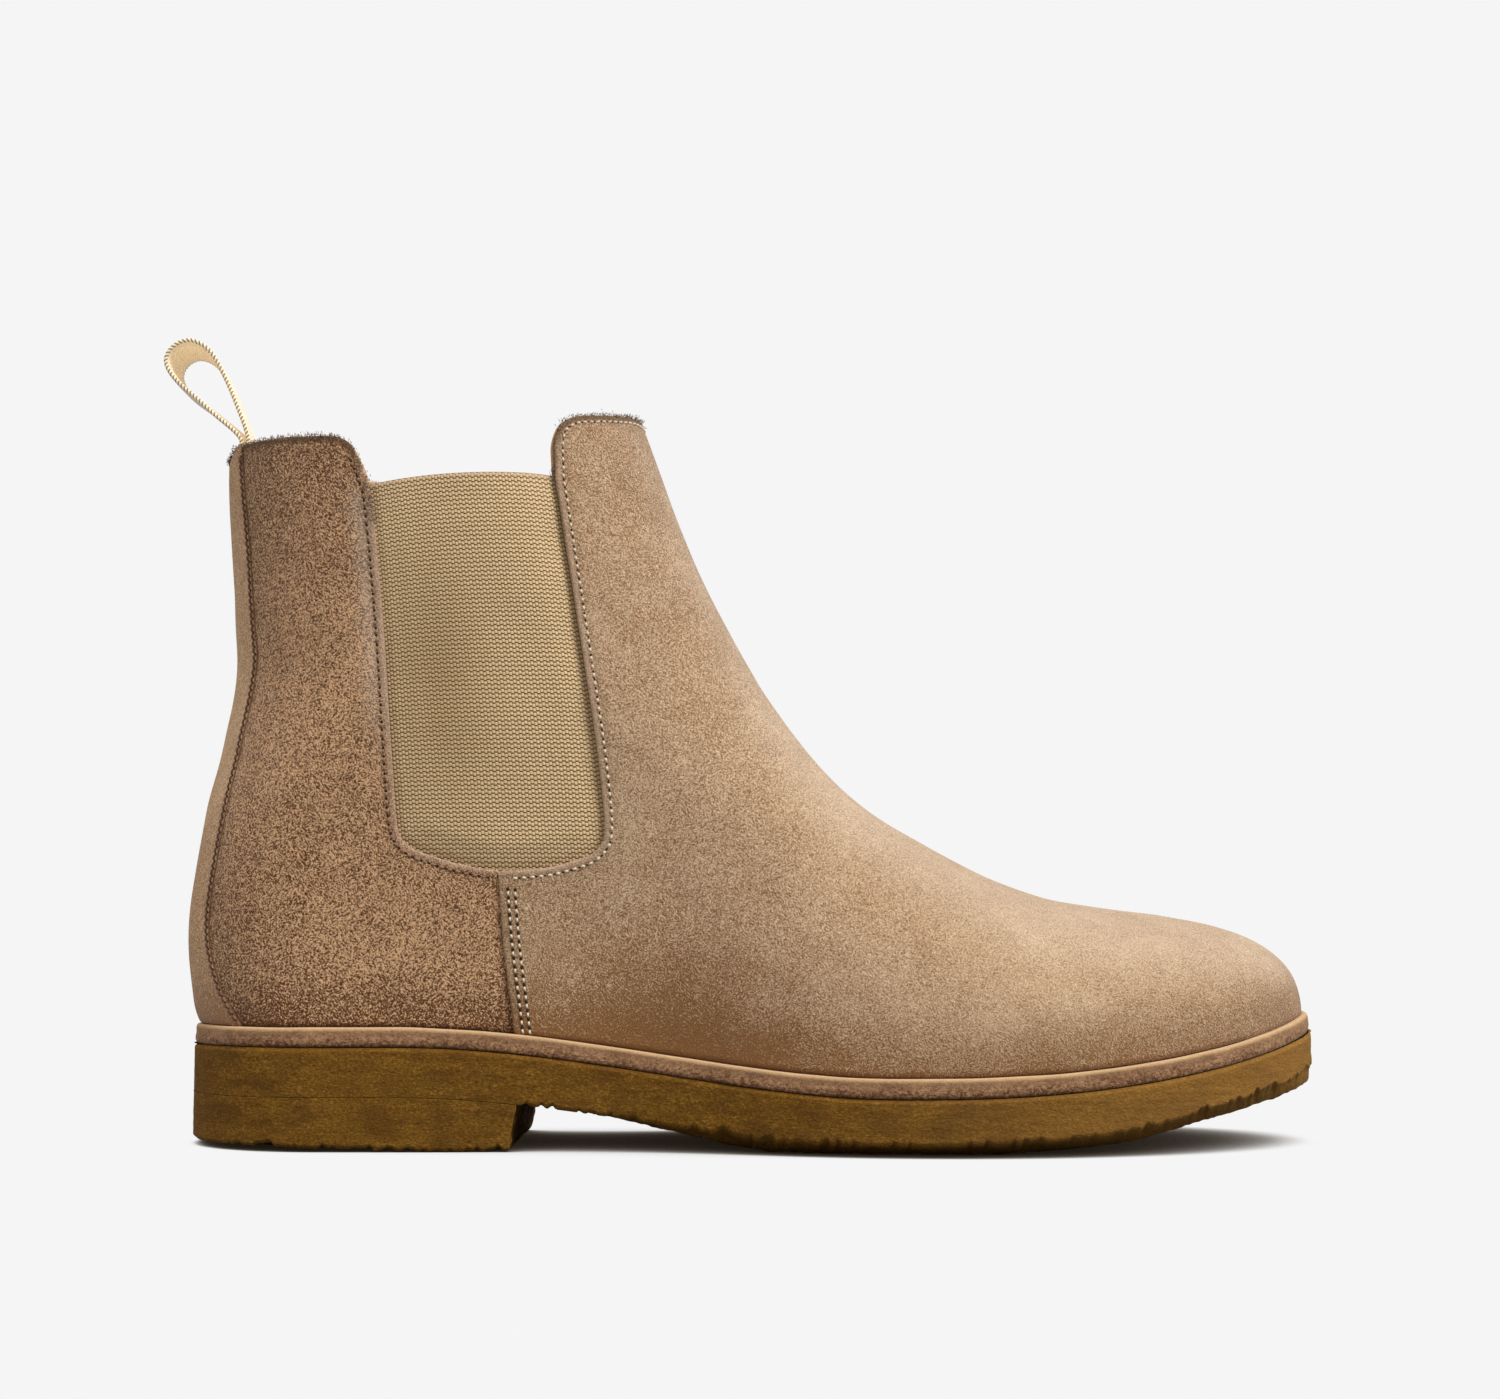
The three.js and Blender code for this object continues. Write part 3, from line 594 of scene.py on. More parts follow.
class Nodes:
    """Short calls for building one material's nodes."""

    def __init__(self, name):
        self.material = bpy.data.materials.new(name)
        self.material.use_nodes = True
        self.tree = self.material.node_tree
        self.shader = self.tree.nodes["Principled BSDF"]

    def node(self, kind, **settings):
        made = self.tree.nodes.new(kind)
        for key, value in settings.items():
            setattr(made, key, value)
        return made

    def link(self, source, target):
        self.tree.links.new(source, target)

    def put(self, socket, value):
        if isinstance(value, bpy.types.NodeSocket):
            self.link(value, socket)
        else:
            socket.default_value = value

    def coordinates(self, scale=1000.0, stretch=(1, 1, 1)):
        """The object's own place, in millimetres."""
        place = self.node("ShaderNodeTexCoord").outputs["Object"]
        mapping = self.node("ShaderNodeMapping")
        mapping.inputs["Scale"].default_value = [scale * s for s in stretch]
        self.link(place, mapping.inputs["Vector"])
        return mapping.outputs["Vector"]

    def turned(self, degrees, stretch):
        """The object's own place in millimetres, turned in the side view and then stretched."""
        first = self.node("ShaderNodeMapping")
        first.inputs["Rotation"].default_value = (0, math.radians(degrees), 0)
        self.link(self.coordinates(), first.inputs["Vector"])
        second = self.node("ShaderNodeMapping")
        second.inputs["Scale"].default_value = stretch
        self.link(first.outputs["Vector"], second.inputs["Vector"])
        return second.outputs["Vector"]

    def value(self, name):
        return self.node("ShaderNodeAttribute", attribute_name=name).outputs["Fac"]

    def noise(self, place, scale, detail=3.0, roughness=0.55, distortion=0.0):
        made = self.node("ShaderNodeTexNoise")
        self.put(made.inputs["Vector"], place)
        made.inputs["Scale"].default_value = scale
        made.inputs["Detail"].default_value = detail
        made.inputs["Roughness"].default_value = roughness
        made.inputs["Distortion"].default_value = distortion
        return made.outputs["Fac"]

    def math(self, operation, a, b=0.0, clamp=False):
        made = self.node("ShaderNodeMath", operation=operation, use_clamp=clamp)
        self.put(made.inputs[0], a)
        self.put(made.inputs[1], b)
        return made.outputs[0]

    def add(self, a, b, clamp=False):
        return self.math("ADD", a, b, clamp)

    def minus(self, a, b, clamp=False):
        return self.math("SUBTRACT", a, b, clamp)

    def times(self, a, b):
        return self.math("MULTIPLY", a, b)

    def zigzag(self, value):
        """Runs from 0.5 at each whole number down to 0 halfway between two."""
        return self.math("ABSOLUTE", self.minus(self.math("FRACT", value), 0.5))

    def ramp(self, value, low, high, to_low=0.0, to_high=1.0):
        made = self.node("ShaderNodeMapRange", clamp=True)
        self.put(made.inputs["Value"], value)
        limits = {"From Min": low, "From Max": high, "To Min": to_low, "To Max": to_high}
        for key, number in limits.items():
            made.inputs[key].default_value = number
        return made.outputs["Result"]

    def colour(self, share, a, b):
        made = self.node("ShaderNodeMix", data_type="RGBA")
        self.put(made.inputs["Factor"], share)
        self.put(made.inputs["A"], a)
        self.put(made.inputs["B"], b)
        return made.outputs["Result"]

    def bump(self, height, distance, strength=1.0):
        made = self.node("ShaderNodeBump")
        made.inputs["Strength"].default_value = strength
        made.inputs["Distance"].default_value = distance
        self.link(height, made.inputs["Height"])
        self.link(made.outputs["Normal"], self.shader.inputs["Normal"])

    def finish(self, colour, roughness, **sockets):
        self.put(self.shader.inputs["Base Color"], colour)
        self.put(self.shader.inputs["Roughness"], roughness)
        for key, value in sockets.items():
            self.put(self.shader.inputs[key.replace("_", " ")], value)
        return self.material


def suede(name, light, dark, grain=1.0, fineness=1.0, cut_edge=True):
    """Napped leather: a fine stipple of lying fibres, painted shade where shade falls, a painted highlight
    where it faces the light, and a soft sheen.

    Its edge is a cut edge, darker in bands that are partly darker nap and partly painted shade, or else a
    seam edge with a painted shadow along it.
    """
    n = Nodes(name)
    place = n.coordinates()
    speckle = n.noise(place, 2.0 * fineness, 2.0, 0.7, 0.3)
    rising = n.noise(n.turned(35, (0.85, 1.0, 2.0)), 1.3 * fineness, 2.0, 0.6, 0.3)
    falling = n.noise(n.turned(-50, (0.85, 1.0, 2.0)), 1.3 * fineness, 2.0, 0.6, 0.3)
    swept = n.ramp(n.noise(place, 0.16, 1.0), 0.4, 0.6)
    stroke = n.add(n.times(rising, swept), n.times(falling, n.minus(1.0, swept)))
    tuft = n.noise(place, 0.42, 3.0, 0.6, 0.5)
    patch = n.noise(place, 0.09, 4.0, 0.6, 0.4)
    broad = n.noise(place, 0.022, 2.0, 0.5)
    coarse = 0.0
    for source, low, high, weight in (
        (speckle, 0.38, 0.62, 0.8 * grain),
        (stroke, 0.38, 0.62, 0.8 * grain),
        (tuft, 0.3, 0.7, 0.14 * grain),
    ):
        coarse = n.add(n.ramp(source, low, high, -weight / 2, weight / 2), coarse)
    tone = n.add(n.times(coarse, n.value("rough")), 0.5)
    for source, low, high, weight in ((patch, 0.3, 0.7, 0.16), (broad, 0.35, 0.65, 0.12)):
        tone = n.add(n.ramp(source, low, high, -weight / 2, weight / 2), tone)
    # Painted shade darkens the suede along the rand, at the waist, low on the counter and high on the shaft.
    tone = n.minus(tone, n.value("painted_shade"), True)
    colour = n.colour(tone, dark, light)
    # Painted highlight: paler where the leather faces up and forward, and on the quarter's bend over the
    # gore's edge.
    colour = n.colour(n.times(n.value("painted_highlight"), 0.17), colour, linear(244, 230, 210))
    if cut_edge:
        edge, topline = n.value("edge"), n.value("topline")
        # Darker in patches within 5 mm of the cut edge: partly darker nap, partly painted shade of the
        # rolled edge.
        nap_and_shade_band = n.times(n.ramp(edge, 2.2, 5.0, 0.28, 0.0), n.ramp(tuft, 0.3, 0.6))
        colour = n.colour(nap_and_shade_band, colour, linear(112, 80, 52))
        raw = n.times(n.ramp(edge, 0.9, 1.5, 0.36, 0.0), n.value("beside_gore"))
        colour = n.colour(raw, colour, linear(206, 178, 154))
        # Darker along the topline: partly darker nap, partly painted shade inside the rolled edge.
        worn = n.times(n.ramp(edge, 1.1, 1.9, 0.72, 0.0), topline)
        colour = n.colour(worn, colour, linear(104, 78, 54))
    else:
        # Painted shadow: a thin dark line along the backstay's seam edge.
        seam_shadow = n.ramp(n.value("edge"), 0.05, 0.3, 0.85, 0.0)
        colour = n.colour(seam_shadow, colour, linear(98, 58, 30))
    height = n.add(n.times(speckle, 0.6), n.times(stroke, 0.9))
    n.bump(height, 0.0006, min(1.0, 0.45 + 0.5 * grain))
    return n.finish(colour, 0.92, Specular_IOR_Level=0.12, Sheen_Weight=0.34, Sheen_Roughness=0.45,
                    Sheen_Tint=linear(208, 214, 212))


def rand_suede():
    """The rand's strip: smoother on its rolled top edge, which carries a painted highlight, and rougher and
    darker towards the sole.
    """
    n = Nodes("suede_rand")
    place = n.coordinates()
    height = n.value("height")
    speckle = n.noise(n.coordinates(stretch=(0.8, 0.8, 1.1)), 1.25, 3.0, 0.75, 0.7)
    patch = n.noise(place, 0.12, 3.0, 0.6)
    grain = n.times(n.ramp(speckle, 0.36, 0.64, -0.5, 0.5), n.ramp(height, -3.2, -1.0, 1.0, 0.4))
    tone = n.add(n.add(grain, 0.5), n.ramp(height, -4.4, -0.8, -0.3, 0.14))
    tone = n.add(tone, n.ramp(patch, 0.3, 0.7, -0.15, 0.15), True)
    colour = n.colour(tone, linear(94, 58, 34), linear(184, 142, 104))
    # Painted highlight along the rolled top edge.
    colour = n.colour(n.ramp(height, -0.7, 0.1, 0.0, 0.55), colour, linear(232, 196, 146))
    n.bump(speckle, 0.0005, 0.7)
    return n.finish(colour, 0.85, Specular_IOR_Level=0.18, Sheen_Weight=0.25,
                    Sheen_Tint=linear(235, 210, 180))


suede_vamp = suede("suede_vamp", linear(228, 197, 162), linear(138, 95, 54), 0.95, 1.3)
suede_quarter = suede("suede_quarter", linear(228, 182, 138), linear(97, 59, 31), 1.45, 1.15)
suede_backstay = suede("suede_backstay", linear(246, 206, 162), linear(160, 116, 78), 0.9, 1.2,
                       cut_edge=False)
suede_rand = rand_suede()


THREAD_SHADE = 0.72


def thread(name, colour):
    """Twisted thread or loose fibre, darker between its plies."""
    n = Nodes(name)
    twist = n.noise(n.coordinates(), 4.0, 2.0)
    shaded = tuple(c * THREAD_SHADE for c in colour[:3]) + (1.0,)
    return n.finish(n.colour(n.ramp(twist, 0.3, 0.7), shaded, colour), 0.7, Sheen_Weight=0.2)


thread_light = thread("thread_light", linear(240, 224, 198))
thread_dark = thread("thread_dark", linear(150, 112, 76))
thread_seam = thread("thread_seam", linear(92, 54, 30))
suede_nap = thread("suede_nap", linear(138, 104, 74))


def dark_hole():
    # Painted shade: the needle holes are coloured dark for the shade inside them.
    n = Nodes("needle_hole")
    spots = n.noise(n.coordinates(), 3.0)
    return n.finish(n.colour(spots, linear(46, 26, 12), linear(68, 42, 22)), 1.0)


needle_hole = dark_hole()


def lining_leather():
    """Smooth tan leather with fine creases between its pores."""
    n = Nodes("lining_leather")
    place = n.coordinates()
    pores = n.node("ShaderNodeTexVoronoi", feature="DISTANCE_TO_EDGE")
    n.put(pores.inputs["Vector"], place)
    pores.inputs["Scale"].default_value = 1.1
    creases = n.ramp(pores.outputs["Distance"], 0.0, 0.12)
    cloud = n.noise(place, 0.06, 4.0)
    colour = n.colour(n.ramp(cloud, 0.3, 0.7), linear(196, 156, 112), linear(214, 178, 136))
    creased = n.times(n.minus(1.0, creases), 0.25)
    colour = n.colour(creased, colour, linear(150, 110, 74))
    n.bump(creases, 0.0001, 0.4)
    return n.finish(colour, 0.62, Specular_IOR_Level=0.35)


leather = lining_leather()


def crepe():
    """Raw crepe rubber: olive amber, faintly layered, flecked pale and dark; painted light makes it paler
    towards the toe.
    """
    n = Nodes("crepe_rubber")
    place = n.coordinates()
    layers = n.noise(n.coordinates(stretch=(0.3, 0.3, 0.9)), 0.35, 3.0, 0.6)
    flecks = n.noise(n.coordinates(stretch=(0.8, 0.8, 1.25)), 1.5, 3.0, 0.75, 0.3)
    pores = n.noise(n.coordinates(stretch=(0.8, 0.8, 1.5)), 1.0, 4.0, 0.7)
    patch = n.noise(n.coordinates(stretch=(0.7, 0.7, 1.3)), 0.12, 3.0, 0.6)
    colour = n.colour(n.ramp(flecks, 0.34, 0.66), linear(94, 60, 8), linear(146, 105, 34))
    colour = n.colour(n.ramp(layers, 0.36, 0.64, 0.0, 0.5), colour, linear(98, 60, 8))
    colour = n.colour(n.ramp(flecks, 0.6, 0.72, 0.0, 0.6), colour, linear(178, 138, 72))
    colour = n.colour(n.ramp(pores, 0.56, 0.72, 0.0, 0.5), colour, linear(66, 40, 4))
    colour = n.colour(n.ramp(patch, 0.45, 0.7, 0.0, 0.6), colour, linear(82, 52, 14))
    apart = n.node("ShaderNodeSeparateXYZ")
    n.put(apart.inputs[0], place)
    # Painted light: paler towards the toe, where the light falls on the front of the sole.
    colour = n.colour(n.ramp(apart.outputs["X"], 15.0, 145.0, 0.0, 0.34), colour, linear(186, 136, 72))
    n.bump(n.add(flecks, n.times(pores, 0.9)), 0.0005, 0.7)
    return n.finish(colour, 0.8, Specular_IOR_Level=0.14, Subsurface_Weight=0.1,
                    Subsurface_Radius=(0.004, 0.002, 0.0008), Subsurface_Scale=0.6)


crepe_rubber = crepe()

RIB_OFFSET = 0.28
ELASTIC_LIGHT = linear(252, 221, 172)
ELASTIC_DARK = linear(134, 98, 52)
# The tape's faint painted glow, which stands in for light shining through it.
WEB_PAINTED_GLOW = 0.14
TWILL_PITCH = 1.1
EDGE_PLY = 1.05
PLY_TURN = 0.35


def weave_material():
    """Elastic webbing: rubber ribs under bright short floats, offset from one rib to the next."""
    n = Nodes("elastic_weave")
    column, course = n.value("column"), n.value("course")
    offset = n.times(n.math("MODULO", n.math("FLOOR", column), 2.0), RIB_OFFSET)
    beside_rib = n.ramp(n.zigzag(column), 0.25, 0.5, 1.0, 0.55)
    beside_course = n.ramp(n.zigzag(n.add(course, offset)), 0.24, 0.48, 1.0, 0.0)
    float_thread = n.times(beside_rib, beside_course)
    lint = n.noise(n.coordinates(), 1.2, 3.0, 0.7)
    tone = n.times(float_thread, n.ramp(lint, 0.25, 0.75, 0.62, 1.0))
    # Painted shade: the floats are dimmed in a broad patch towards the gore's rear edge.
    tone = n.times(tone, n.value("painted_gore_shade"))
    colour = n.colour(tone, ELASTIC_DARK, ELASTIC_LIGHT)
    selvedge = n.ramp(n.value("from_top"), 0.4, 1.6, 0.55, 0.0)
    colour = n.colour(selvedge, colour, linear(214, 184, 150))
    n.bump(float_thread, 0.0003, 0.9)
    return n.finish(colour, 0.85, Sheen_Weight=0.15, Specular_IOR_Level=0.25)


elastic_weave = weave_material()


def webbing_material():
    """Cotton twill tape: fine diagonal ribs, a two-tone twisted selvedge, and a faint painted glow for light
    through the tape.
    """
    n = Nodes("cotton_webbing")
    along, across = n.value("along"), n.value("across")
    diagonal = n.zigzag(n.math("DIVIDE", n.add(along, across), TWILL_PITCH))
    twill = n.ramp(diagonal, 0.1, 0.45, 1.0, 0.0)
    lint = n.noise(n.coordinates(), 1.5, 3.0, 0.7)
    body_tone = n.times(twill, n.ramp(lint, 0.25, 0.75, 0.6, 1.0))
    body = n.colour(body_tone, linear(246, 226, 194), linear(252, 238, 212))
    turned = n.times(n.value("face"), PLY_TURN)
    ply = n.zigzag(n.add(n.math("DIVIDE", along, EDGE_PLY), turned))
    edge_colour = n.colour(n.ramp(ply, 0.18, 0.36), linear(244, 232, 206), linear(150, 124, 84))
    at_edge = n.ramp(n.math("ABSOLUTE", across), 9.1, 9.5)
    n.bump(twill, 0.0001, 0.25)
    colour = n.colour(at_edge, body, edge_colour)
    return n.finish(
        colour, 0.88, Specular_IOR_Level=0.2, Sheen_Weight=0.2,
        Emission_Color=colour, Emission_Strength=WEB_PAINTED_GLOW,
        Subsurface_Weight=0.3, Subsurface_Scale=1.0, Subsurface_Radius=(0.003, 0.0028, 0.0025),
    )


cotton_webbing = webbing_material()


def grain(name, light, dark, size, roughness, relief=0.0002, metallic=0.0, stretch=(1, 1, 1)):
    """A plain granular material for the layers inside the boot."""
    n = Nodes(name)
    speck = n.noise(n.coordinates(stretch=stretch), 1.0 / size, 4.0, 0.65)
    n.bump(speck, relief, 0.6)
    worn = n.ramp(speck, 0.3, 0.7, roughness - 0.08, roughness + 0.05)
    return n.finish(n.colour(n.ramp(speck, 0.3, 0.7), dark, light), worn, Metallic=metallic)


foam_board = grain("foam_board", linear(196, 156, 108), linear(160, 120, 78), 0.8, 0.85)
cork_grain = grain("cork_grain", linear(206, 162, 112), linear(120, 82, 50), 2.2, 0.9, 0.0004)
spring_steel = grain("spring_steel", linear(168, 170, 174), linear(120, 122, 128), 0.6, 0.4,
                     relief=0.00005, metallic=1.0, stretch=(0.05, 1, 1))
fibre_board = grain("fibre_board", linear(206, 174, 132), linear(164, 132, 92), 1.2, 0.9)
stiff_felt = grain("stiff_felt", linear(222, 214, 196), linear(184, 174, 154), 0.9, 0.92, 0.0003)
latex_foam = grain("latex_foam", linear(236, 222, 194), linear(206, 188, 152), 0.7, 0.9, 0.0003)

# ---- Upper pieces ----

FINE = 1.0
whole = upper_sheet(int(190 * FINE), int(165 * FINE))
FOOT_GAP = 0.15


def finish_piece(obj, nodes):
    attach(obj, "boot")
    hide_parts(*nodes)
    return obj


def cut_piece(outline, sheet=whole, bottom=FOOT_GAP, levels=(0.2, 0.6, 1.2, 1.7, 2.3)):
    """The part of the upper inside a side-view outline, with its distance to the edge."""
    part = sheet.copy()
    part.values["edge"] = true_distance(part.points, part.normals, outline)
    part.split("edge", 0.0).keep("edge")
    part.split("foot", bottom).keep("foot", bottom)
    for level in levels:
        part.split("edge", level)
    return part


def soft_dents(points):
    """Gentle unevenness of the lasted leather."""
    return 0.35 * noise(points, 26, 3) + 0.12 * noise(points, 9, 4)


def painted_shade(points):
    """Painted shade: how much darker the suede is made along the rand, at the waist, low on the counter and
    high on the shaft.
    """
    x, above = points[:, 0], points[:, 2] - rand_top(points[:, 0])
    low = 0.36 * (1 - smooth(above, 1, 19)) + 0.3 * (1 - smooth(above, 0.2, 2.4))
    waist = 0.5 * np.exp(-((x + 18) / 34) ** 2) * (1 - smooth(above, 4, 44))
    counter = 0.16 * smooth(-x, 95, 140) * (1 - smooth(above, 30, 70))
    shaft = 0.12 * smooth(above, 85, 150) + 0.1 * smooth(-x, 96, 110) * smooth(above, 125, 160)
    return low + waist + counter + shaft


def nap_roughness(points):
    """How strongly the nap's grain shows: fine on the toe, coarser towards the heel."""
    return mix(1.0, 0.62, smooth(points[:, 0], -30, 75))


def painted_facing_highlight(normals):
    """Painted highlight: how much paler the suede is made where it faces up and forward, towards the light.
    """
    return smooth(0.85 * normals[:, 2] + 0.5 * normals[:, 0], 0.5, 0.95)


def painted_bend_highlight(part):
    """Painted highlight: the paler strip of the quarter where it bends over the top half of the gore's rear
    edge and catches the light.
    """
    x, z, edge = part.points[:, 0], part.points[:, 2], part.values["edge"]
    beside = smooth(x, -112, -104) * smooth(z, 92, 125) * (1 - smooth(z, 164, 173))
    return 1.3 * beside * np.exp(-((edge - 3) / 3) ** 2)


TOPLINE_SPAN = (178, 186)
QUARTER_TOP_SPAN = (172, 180)
GORE_EDGE_SPAN = (66, 73)


def upper_piece(name, nodes, part, outer, thickness, edge_round, material):
    """A shell of leather whose outer face lies outer from the upper's surface."""
    edge = np.minimum(part.values["edge"], (part.values["foot"] - FOOT_GAP) * 3 + 0.4)
    lift = outer + soft_dents(part.points)
    points, faces, doubled = shell_of(part, lift, thickness, edge, edge_round)
    high = part.points[:, 2]
    topline = smooth(high, *(TOPLINE_SPAN if "vamp" in name else QUARTER_TOP_SPAN))
    values = {
        "edge": part.values["edge"],
        "painted_shade": painted_shade(part.points),
        "topline": topline,
        "painted_highlight": painted_facing_highlight(part.normals) + (painted_bend_highlight(part) if "quarter" in name else 0.0),
        "beside_gore": (1 - topline) * smooth(high, *GORE_EDGE_SPAN),
        "rough": nap_roughness(part.points),
    }
    values = {key: doubled(value) for key, value in values.items()}
    finish_piece(new_object(name, points, faces, material, values), nodes)


def groove(distance, at, width, depth):
    """The dip of a stitch row or seam at a distance from a piece's edge."""
    return -depth * np.exp(-((distance - at) / width) ** 2)


def half_sheet(side, inner_limit):
    """One side of the upper, beyond a distance from its middle plane."""
    half = whole.copy()
    half.values["side"] = half.points[:, 1] * side
    return half.split("side", inner_limit).keep("side", inner_limit)


STITCH_INSET = 2.0
TOPLINE_Z = 186.0
vamp = cut_piece(vamp_outline)
seam_rows = groove(vamp.values["edge"], STITCH_INSET, 0.5, 0.16)
upper_piece("vamp_suede", ["vamp"], vamp, seam_rows, 1.4, 0.7, suede_vamp)

QUARTER_OUTER = -0.9
QUARTER_TUCK = 0.55
TUCK_SPAN = (-66, -61)
BACKSTAY_LAP = 11.0
quarters = {}
for side, label in SIDES:
    quarter = cut_piece(quarter_outline, half_sheet(side, BACKSTAY_LAP))
    quarters[side] = quarter
    under_vamp = QUARTER_TUCK * smooth(quarter.points[:, 0], *TUCK_SPAN)
    dip = groove(quarter.values["edge"], STITCH_INSET, 0.5, 0.12)
    upper_piece(f"quarter_{label}_suede", [f"quarter_{label}"], quarter, QUARTER_OUTER - under_vamp + dip,
                1.2, 0.6, suede_quarter)

backstay = cut_piece(backstay_outline)
seam_dip = groove(backstay.values["edge"], 0.0, 0.7, 0.3)
upper_piece("backstay_suede", ["backstay"], backstay, seam_dip, 1.1, 0.6, suede_backstay)

# ---- Lining ----

LINING_DEPTH = -3.5
LINING_THICKNESS = 0.9
for name, node, outline, top_z, meets in (
    ("vamp_lining_leather", "vamp_lining", vamp_outline, 190.0, -1.5),
    ("quarter_lining_leather", "quarter_lining", quarter_outline, 182.0, -2.2),
):
    part = cut_piece(outline, bottom=0.4, levels=(0.5,))
    near_top = smooth(part.points[:, 2], top_z - 9, top_z - 2)
    behind_loop = smooth(-part.points[:, 0], 120, 132) if node == "quarter_lining" else 0.0
    depth = mix(LINING_DEPTH, meets, near_top * (1 - behind_loop))
    upper_piece(name, [node], part, depth, LINING_THICKNESS, 0.4, leather)

# ---- Elastic gores ----

# Depths are outward from the upper's surface, so the panel lies under the leather at its edges.
RIB_PITCH = 0.78
COURSE_PITCH = 1.15
GORE_WIDTH = 60
GORE_HEIGHT = 106
GORE_LAP = 6.0
GORE_FOOT = 66.0
GORE_OUTER = -2.05
GORE_BULGE = 1.5
GORE_SUNK = -0.5
GORE_THICKNESS = 0.8
GORE_TOP = [(-104.5, 169.4), (-99, 170), (-83, 172.2), (-66, 173.3), (-48, 173.5), (-42, 173.2)]


def edge_x(edge_points, z):
    line = spline(edge_points, 8)
    line = line[np.argsort(line[:, 1])]
    return np.interp(z, line[:, 1], line[:, 0])


def closed_slab(front, back):
    """Vertices and triangles of a slab between two grids of points."""
    rows, columns = front.shape[:2]
    size = rows * columns
    face = grid_faces(rows, columns, False)
    number = np.arange(size).reshape(rows, columns)
    ring = np.concatenate([number[0, :-1], number[:-1, -1], number[-1, :0:-1], number[:0:-1, 0]])
    after = np.roll(ring, -1)
    rim = [np.stack([ring, after, after + size], 1), np.stack([ring, after + size, ring + size], 1)]
    points = np.vstack([front.reshape(-1, 3), back.reshape(-1, 3)])
    return points, np.vstack([face, face[:, ::-1] + size] + rim)


def gore(side, label):
    """A taut elastic panel, ribbed up and down, sewn in behind the window's edges."""
    ribs = int(GORE_WIDTH / RIB_PITCH)
    courses = int(GORE_HEIGHT / COURSE_PITCH)
    u = np.linspace(0, 1, ribs * 3 + 1)
    v = np.linspace(0, 1, courses * 2 + 1)
    across, up = np.meshgrid(u, v)
    rear_edge = [(-98.6, 178)] + GORE_REAR_EDGE + [(-88.6, 60)]
    front_edge = [(-34.6, 60)] + GORE_FRONT_EDGE + [(-51, 178)]
    z = GORE_FOOT + up * GORE_HEIGHT
    for _ in range(3):
        x = mix(edge_x(rear_edge, z) - GORE_LAP, edge_x(front_edge, z) + GORE_LAP, across)
        z = mix(GORE_FOOT, through(GORE_TOP, x), up)
    points, normals = surface_at(x, z, side)
    column = across * ribs
    row = up * courses + RIB_OFFSET * (np.floor(column) % 2)
    rib = np.abs(np.sin(np.pi * column))
    pick = np.cos(2 * np.pi * row)
    flat_points = points.reshape(-1, 3)
    slack = (0.45 * noise(flat_points, 30, 12) + 0.18 * noise(flat_points, 12, 13)).reshape(x.shape)
    from_top = through(GORE_TOP, x) - z
    shown = outline_distance(flat_points, WINDOW)[0].reshape(x.shape)
    bulge = GORE_BULGE * (1 - (2 * across - 1) ** 2) * smooth(shown, -0.5, 8)
    bulge += GORE_SUNK * (1 - smooth(shown, -0.5, 2.5))
    # Painted shade over the gore: a broad darker patch towards its rear edge, at mid height.
    painted_gore_shade = 1 - 0.45 * np.exp(-((across - 0.3) / 0.2) ** 2 - ((up - 0.5) / 0.32) ** 2)
    lift = GORE_OUTER + bulge + slack * smooth(from_top, 0, 8) + 0.1 * rib * (0.7 + 0.3 * pick)
    front = points + normals * lift[..., None]
    back = points + normals * (lift - GORE_THICKNESS)[..., None]
    values = {"column": column, "course": up * courses, "from_top": from_top, "painted_gore_shade": painted_gore_shade}
    if side > 0:
        front, back = front[:, ::-1], back[:, ::-1]
        values = {key: value[:, ::-1] for key, value in values.items()}
    placed, faces = closed_slab(front, back)
    values = {key: np.concatenate([value.reshape(-1)] * 2) for key, value in values.items()}
    obj = new_object(f"gore_{label}_elastic", placed, faces[:, ::-1], elastic_weave, values)
    finish_piece(obj, [f"gore_{label}"])


for side, label in SIDES:
    gore(side, label)

# ---- Pull loop ----

WEB_WIDTH = 20.0
WEB_THICKNESS = 1.15
TAIL_THICKNESS = 0.95
LOOP_BASE = (-136.2, 187.8)
LOOP_CENTRE_LINE = [
    (-145.9, 195.8), (-154.2, 202.6), (-157.3, 207.9), (-155.6, 212), (-151.4, 213.6), (-146.7, 211.3),
    (-142.8, 205.5), (-138.9, 196.8),
]
# The tails cup round the back of the leg on an ellipse, which brings their middle back by TAIL_SET.
TAIL_HEIGHTS = (166.0, 172.0, 178.0, 183.0)
TAIL_DEPTHS = (1.7, 2.75)
TAIL_SET = 1.7
BACK_CUP = (38.5, 50)
TAIL_SPAN = (-187.5, -181.0)
LOOP_TURN = (-0.01, 0.09)
TURN_SPAN = (0.42, 0.62)
WEB_POINTS = 60
RIDGE = 0.09
EDGE_SWELL = (0.018, 0.22)


def back_x(z):
    line = BACK.points[np.argsort(BACK.points[:, 1])]
    return np.interp(z, line[:, 1], line[:, 0])


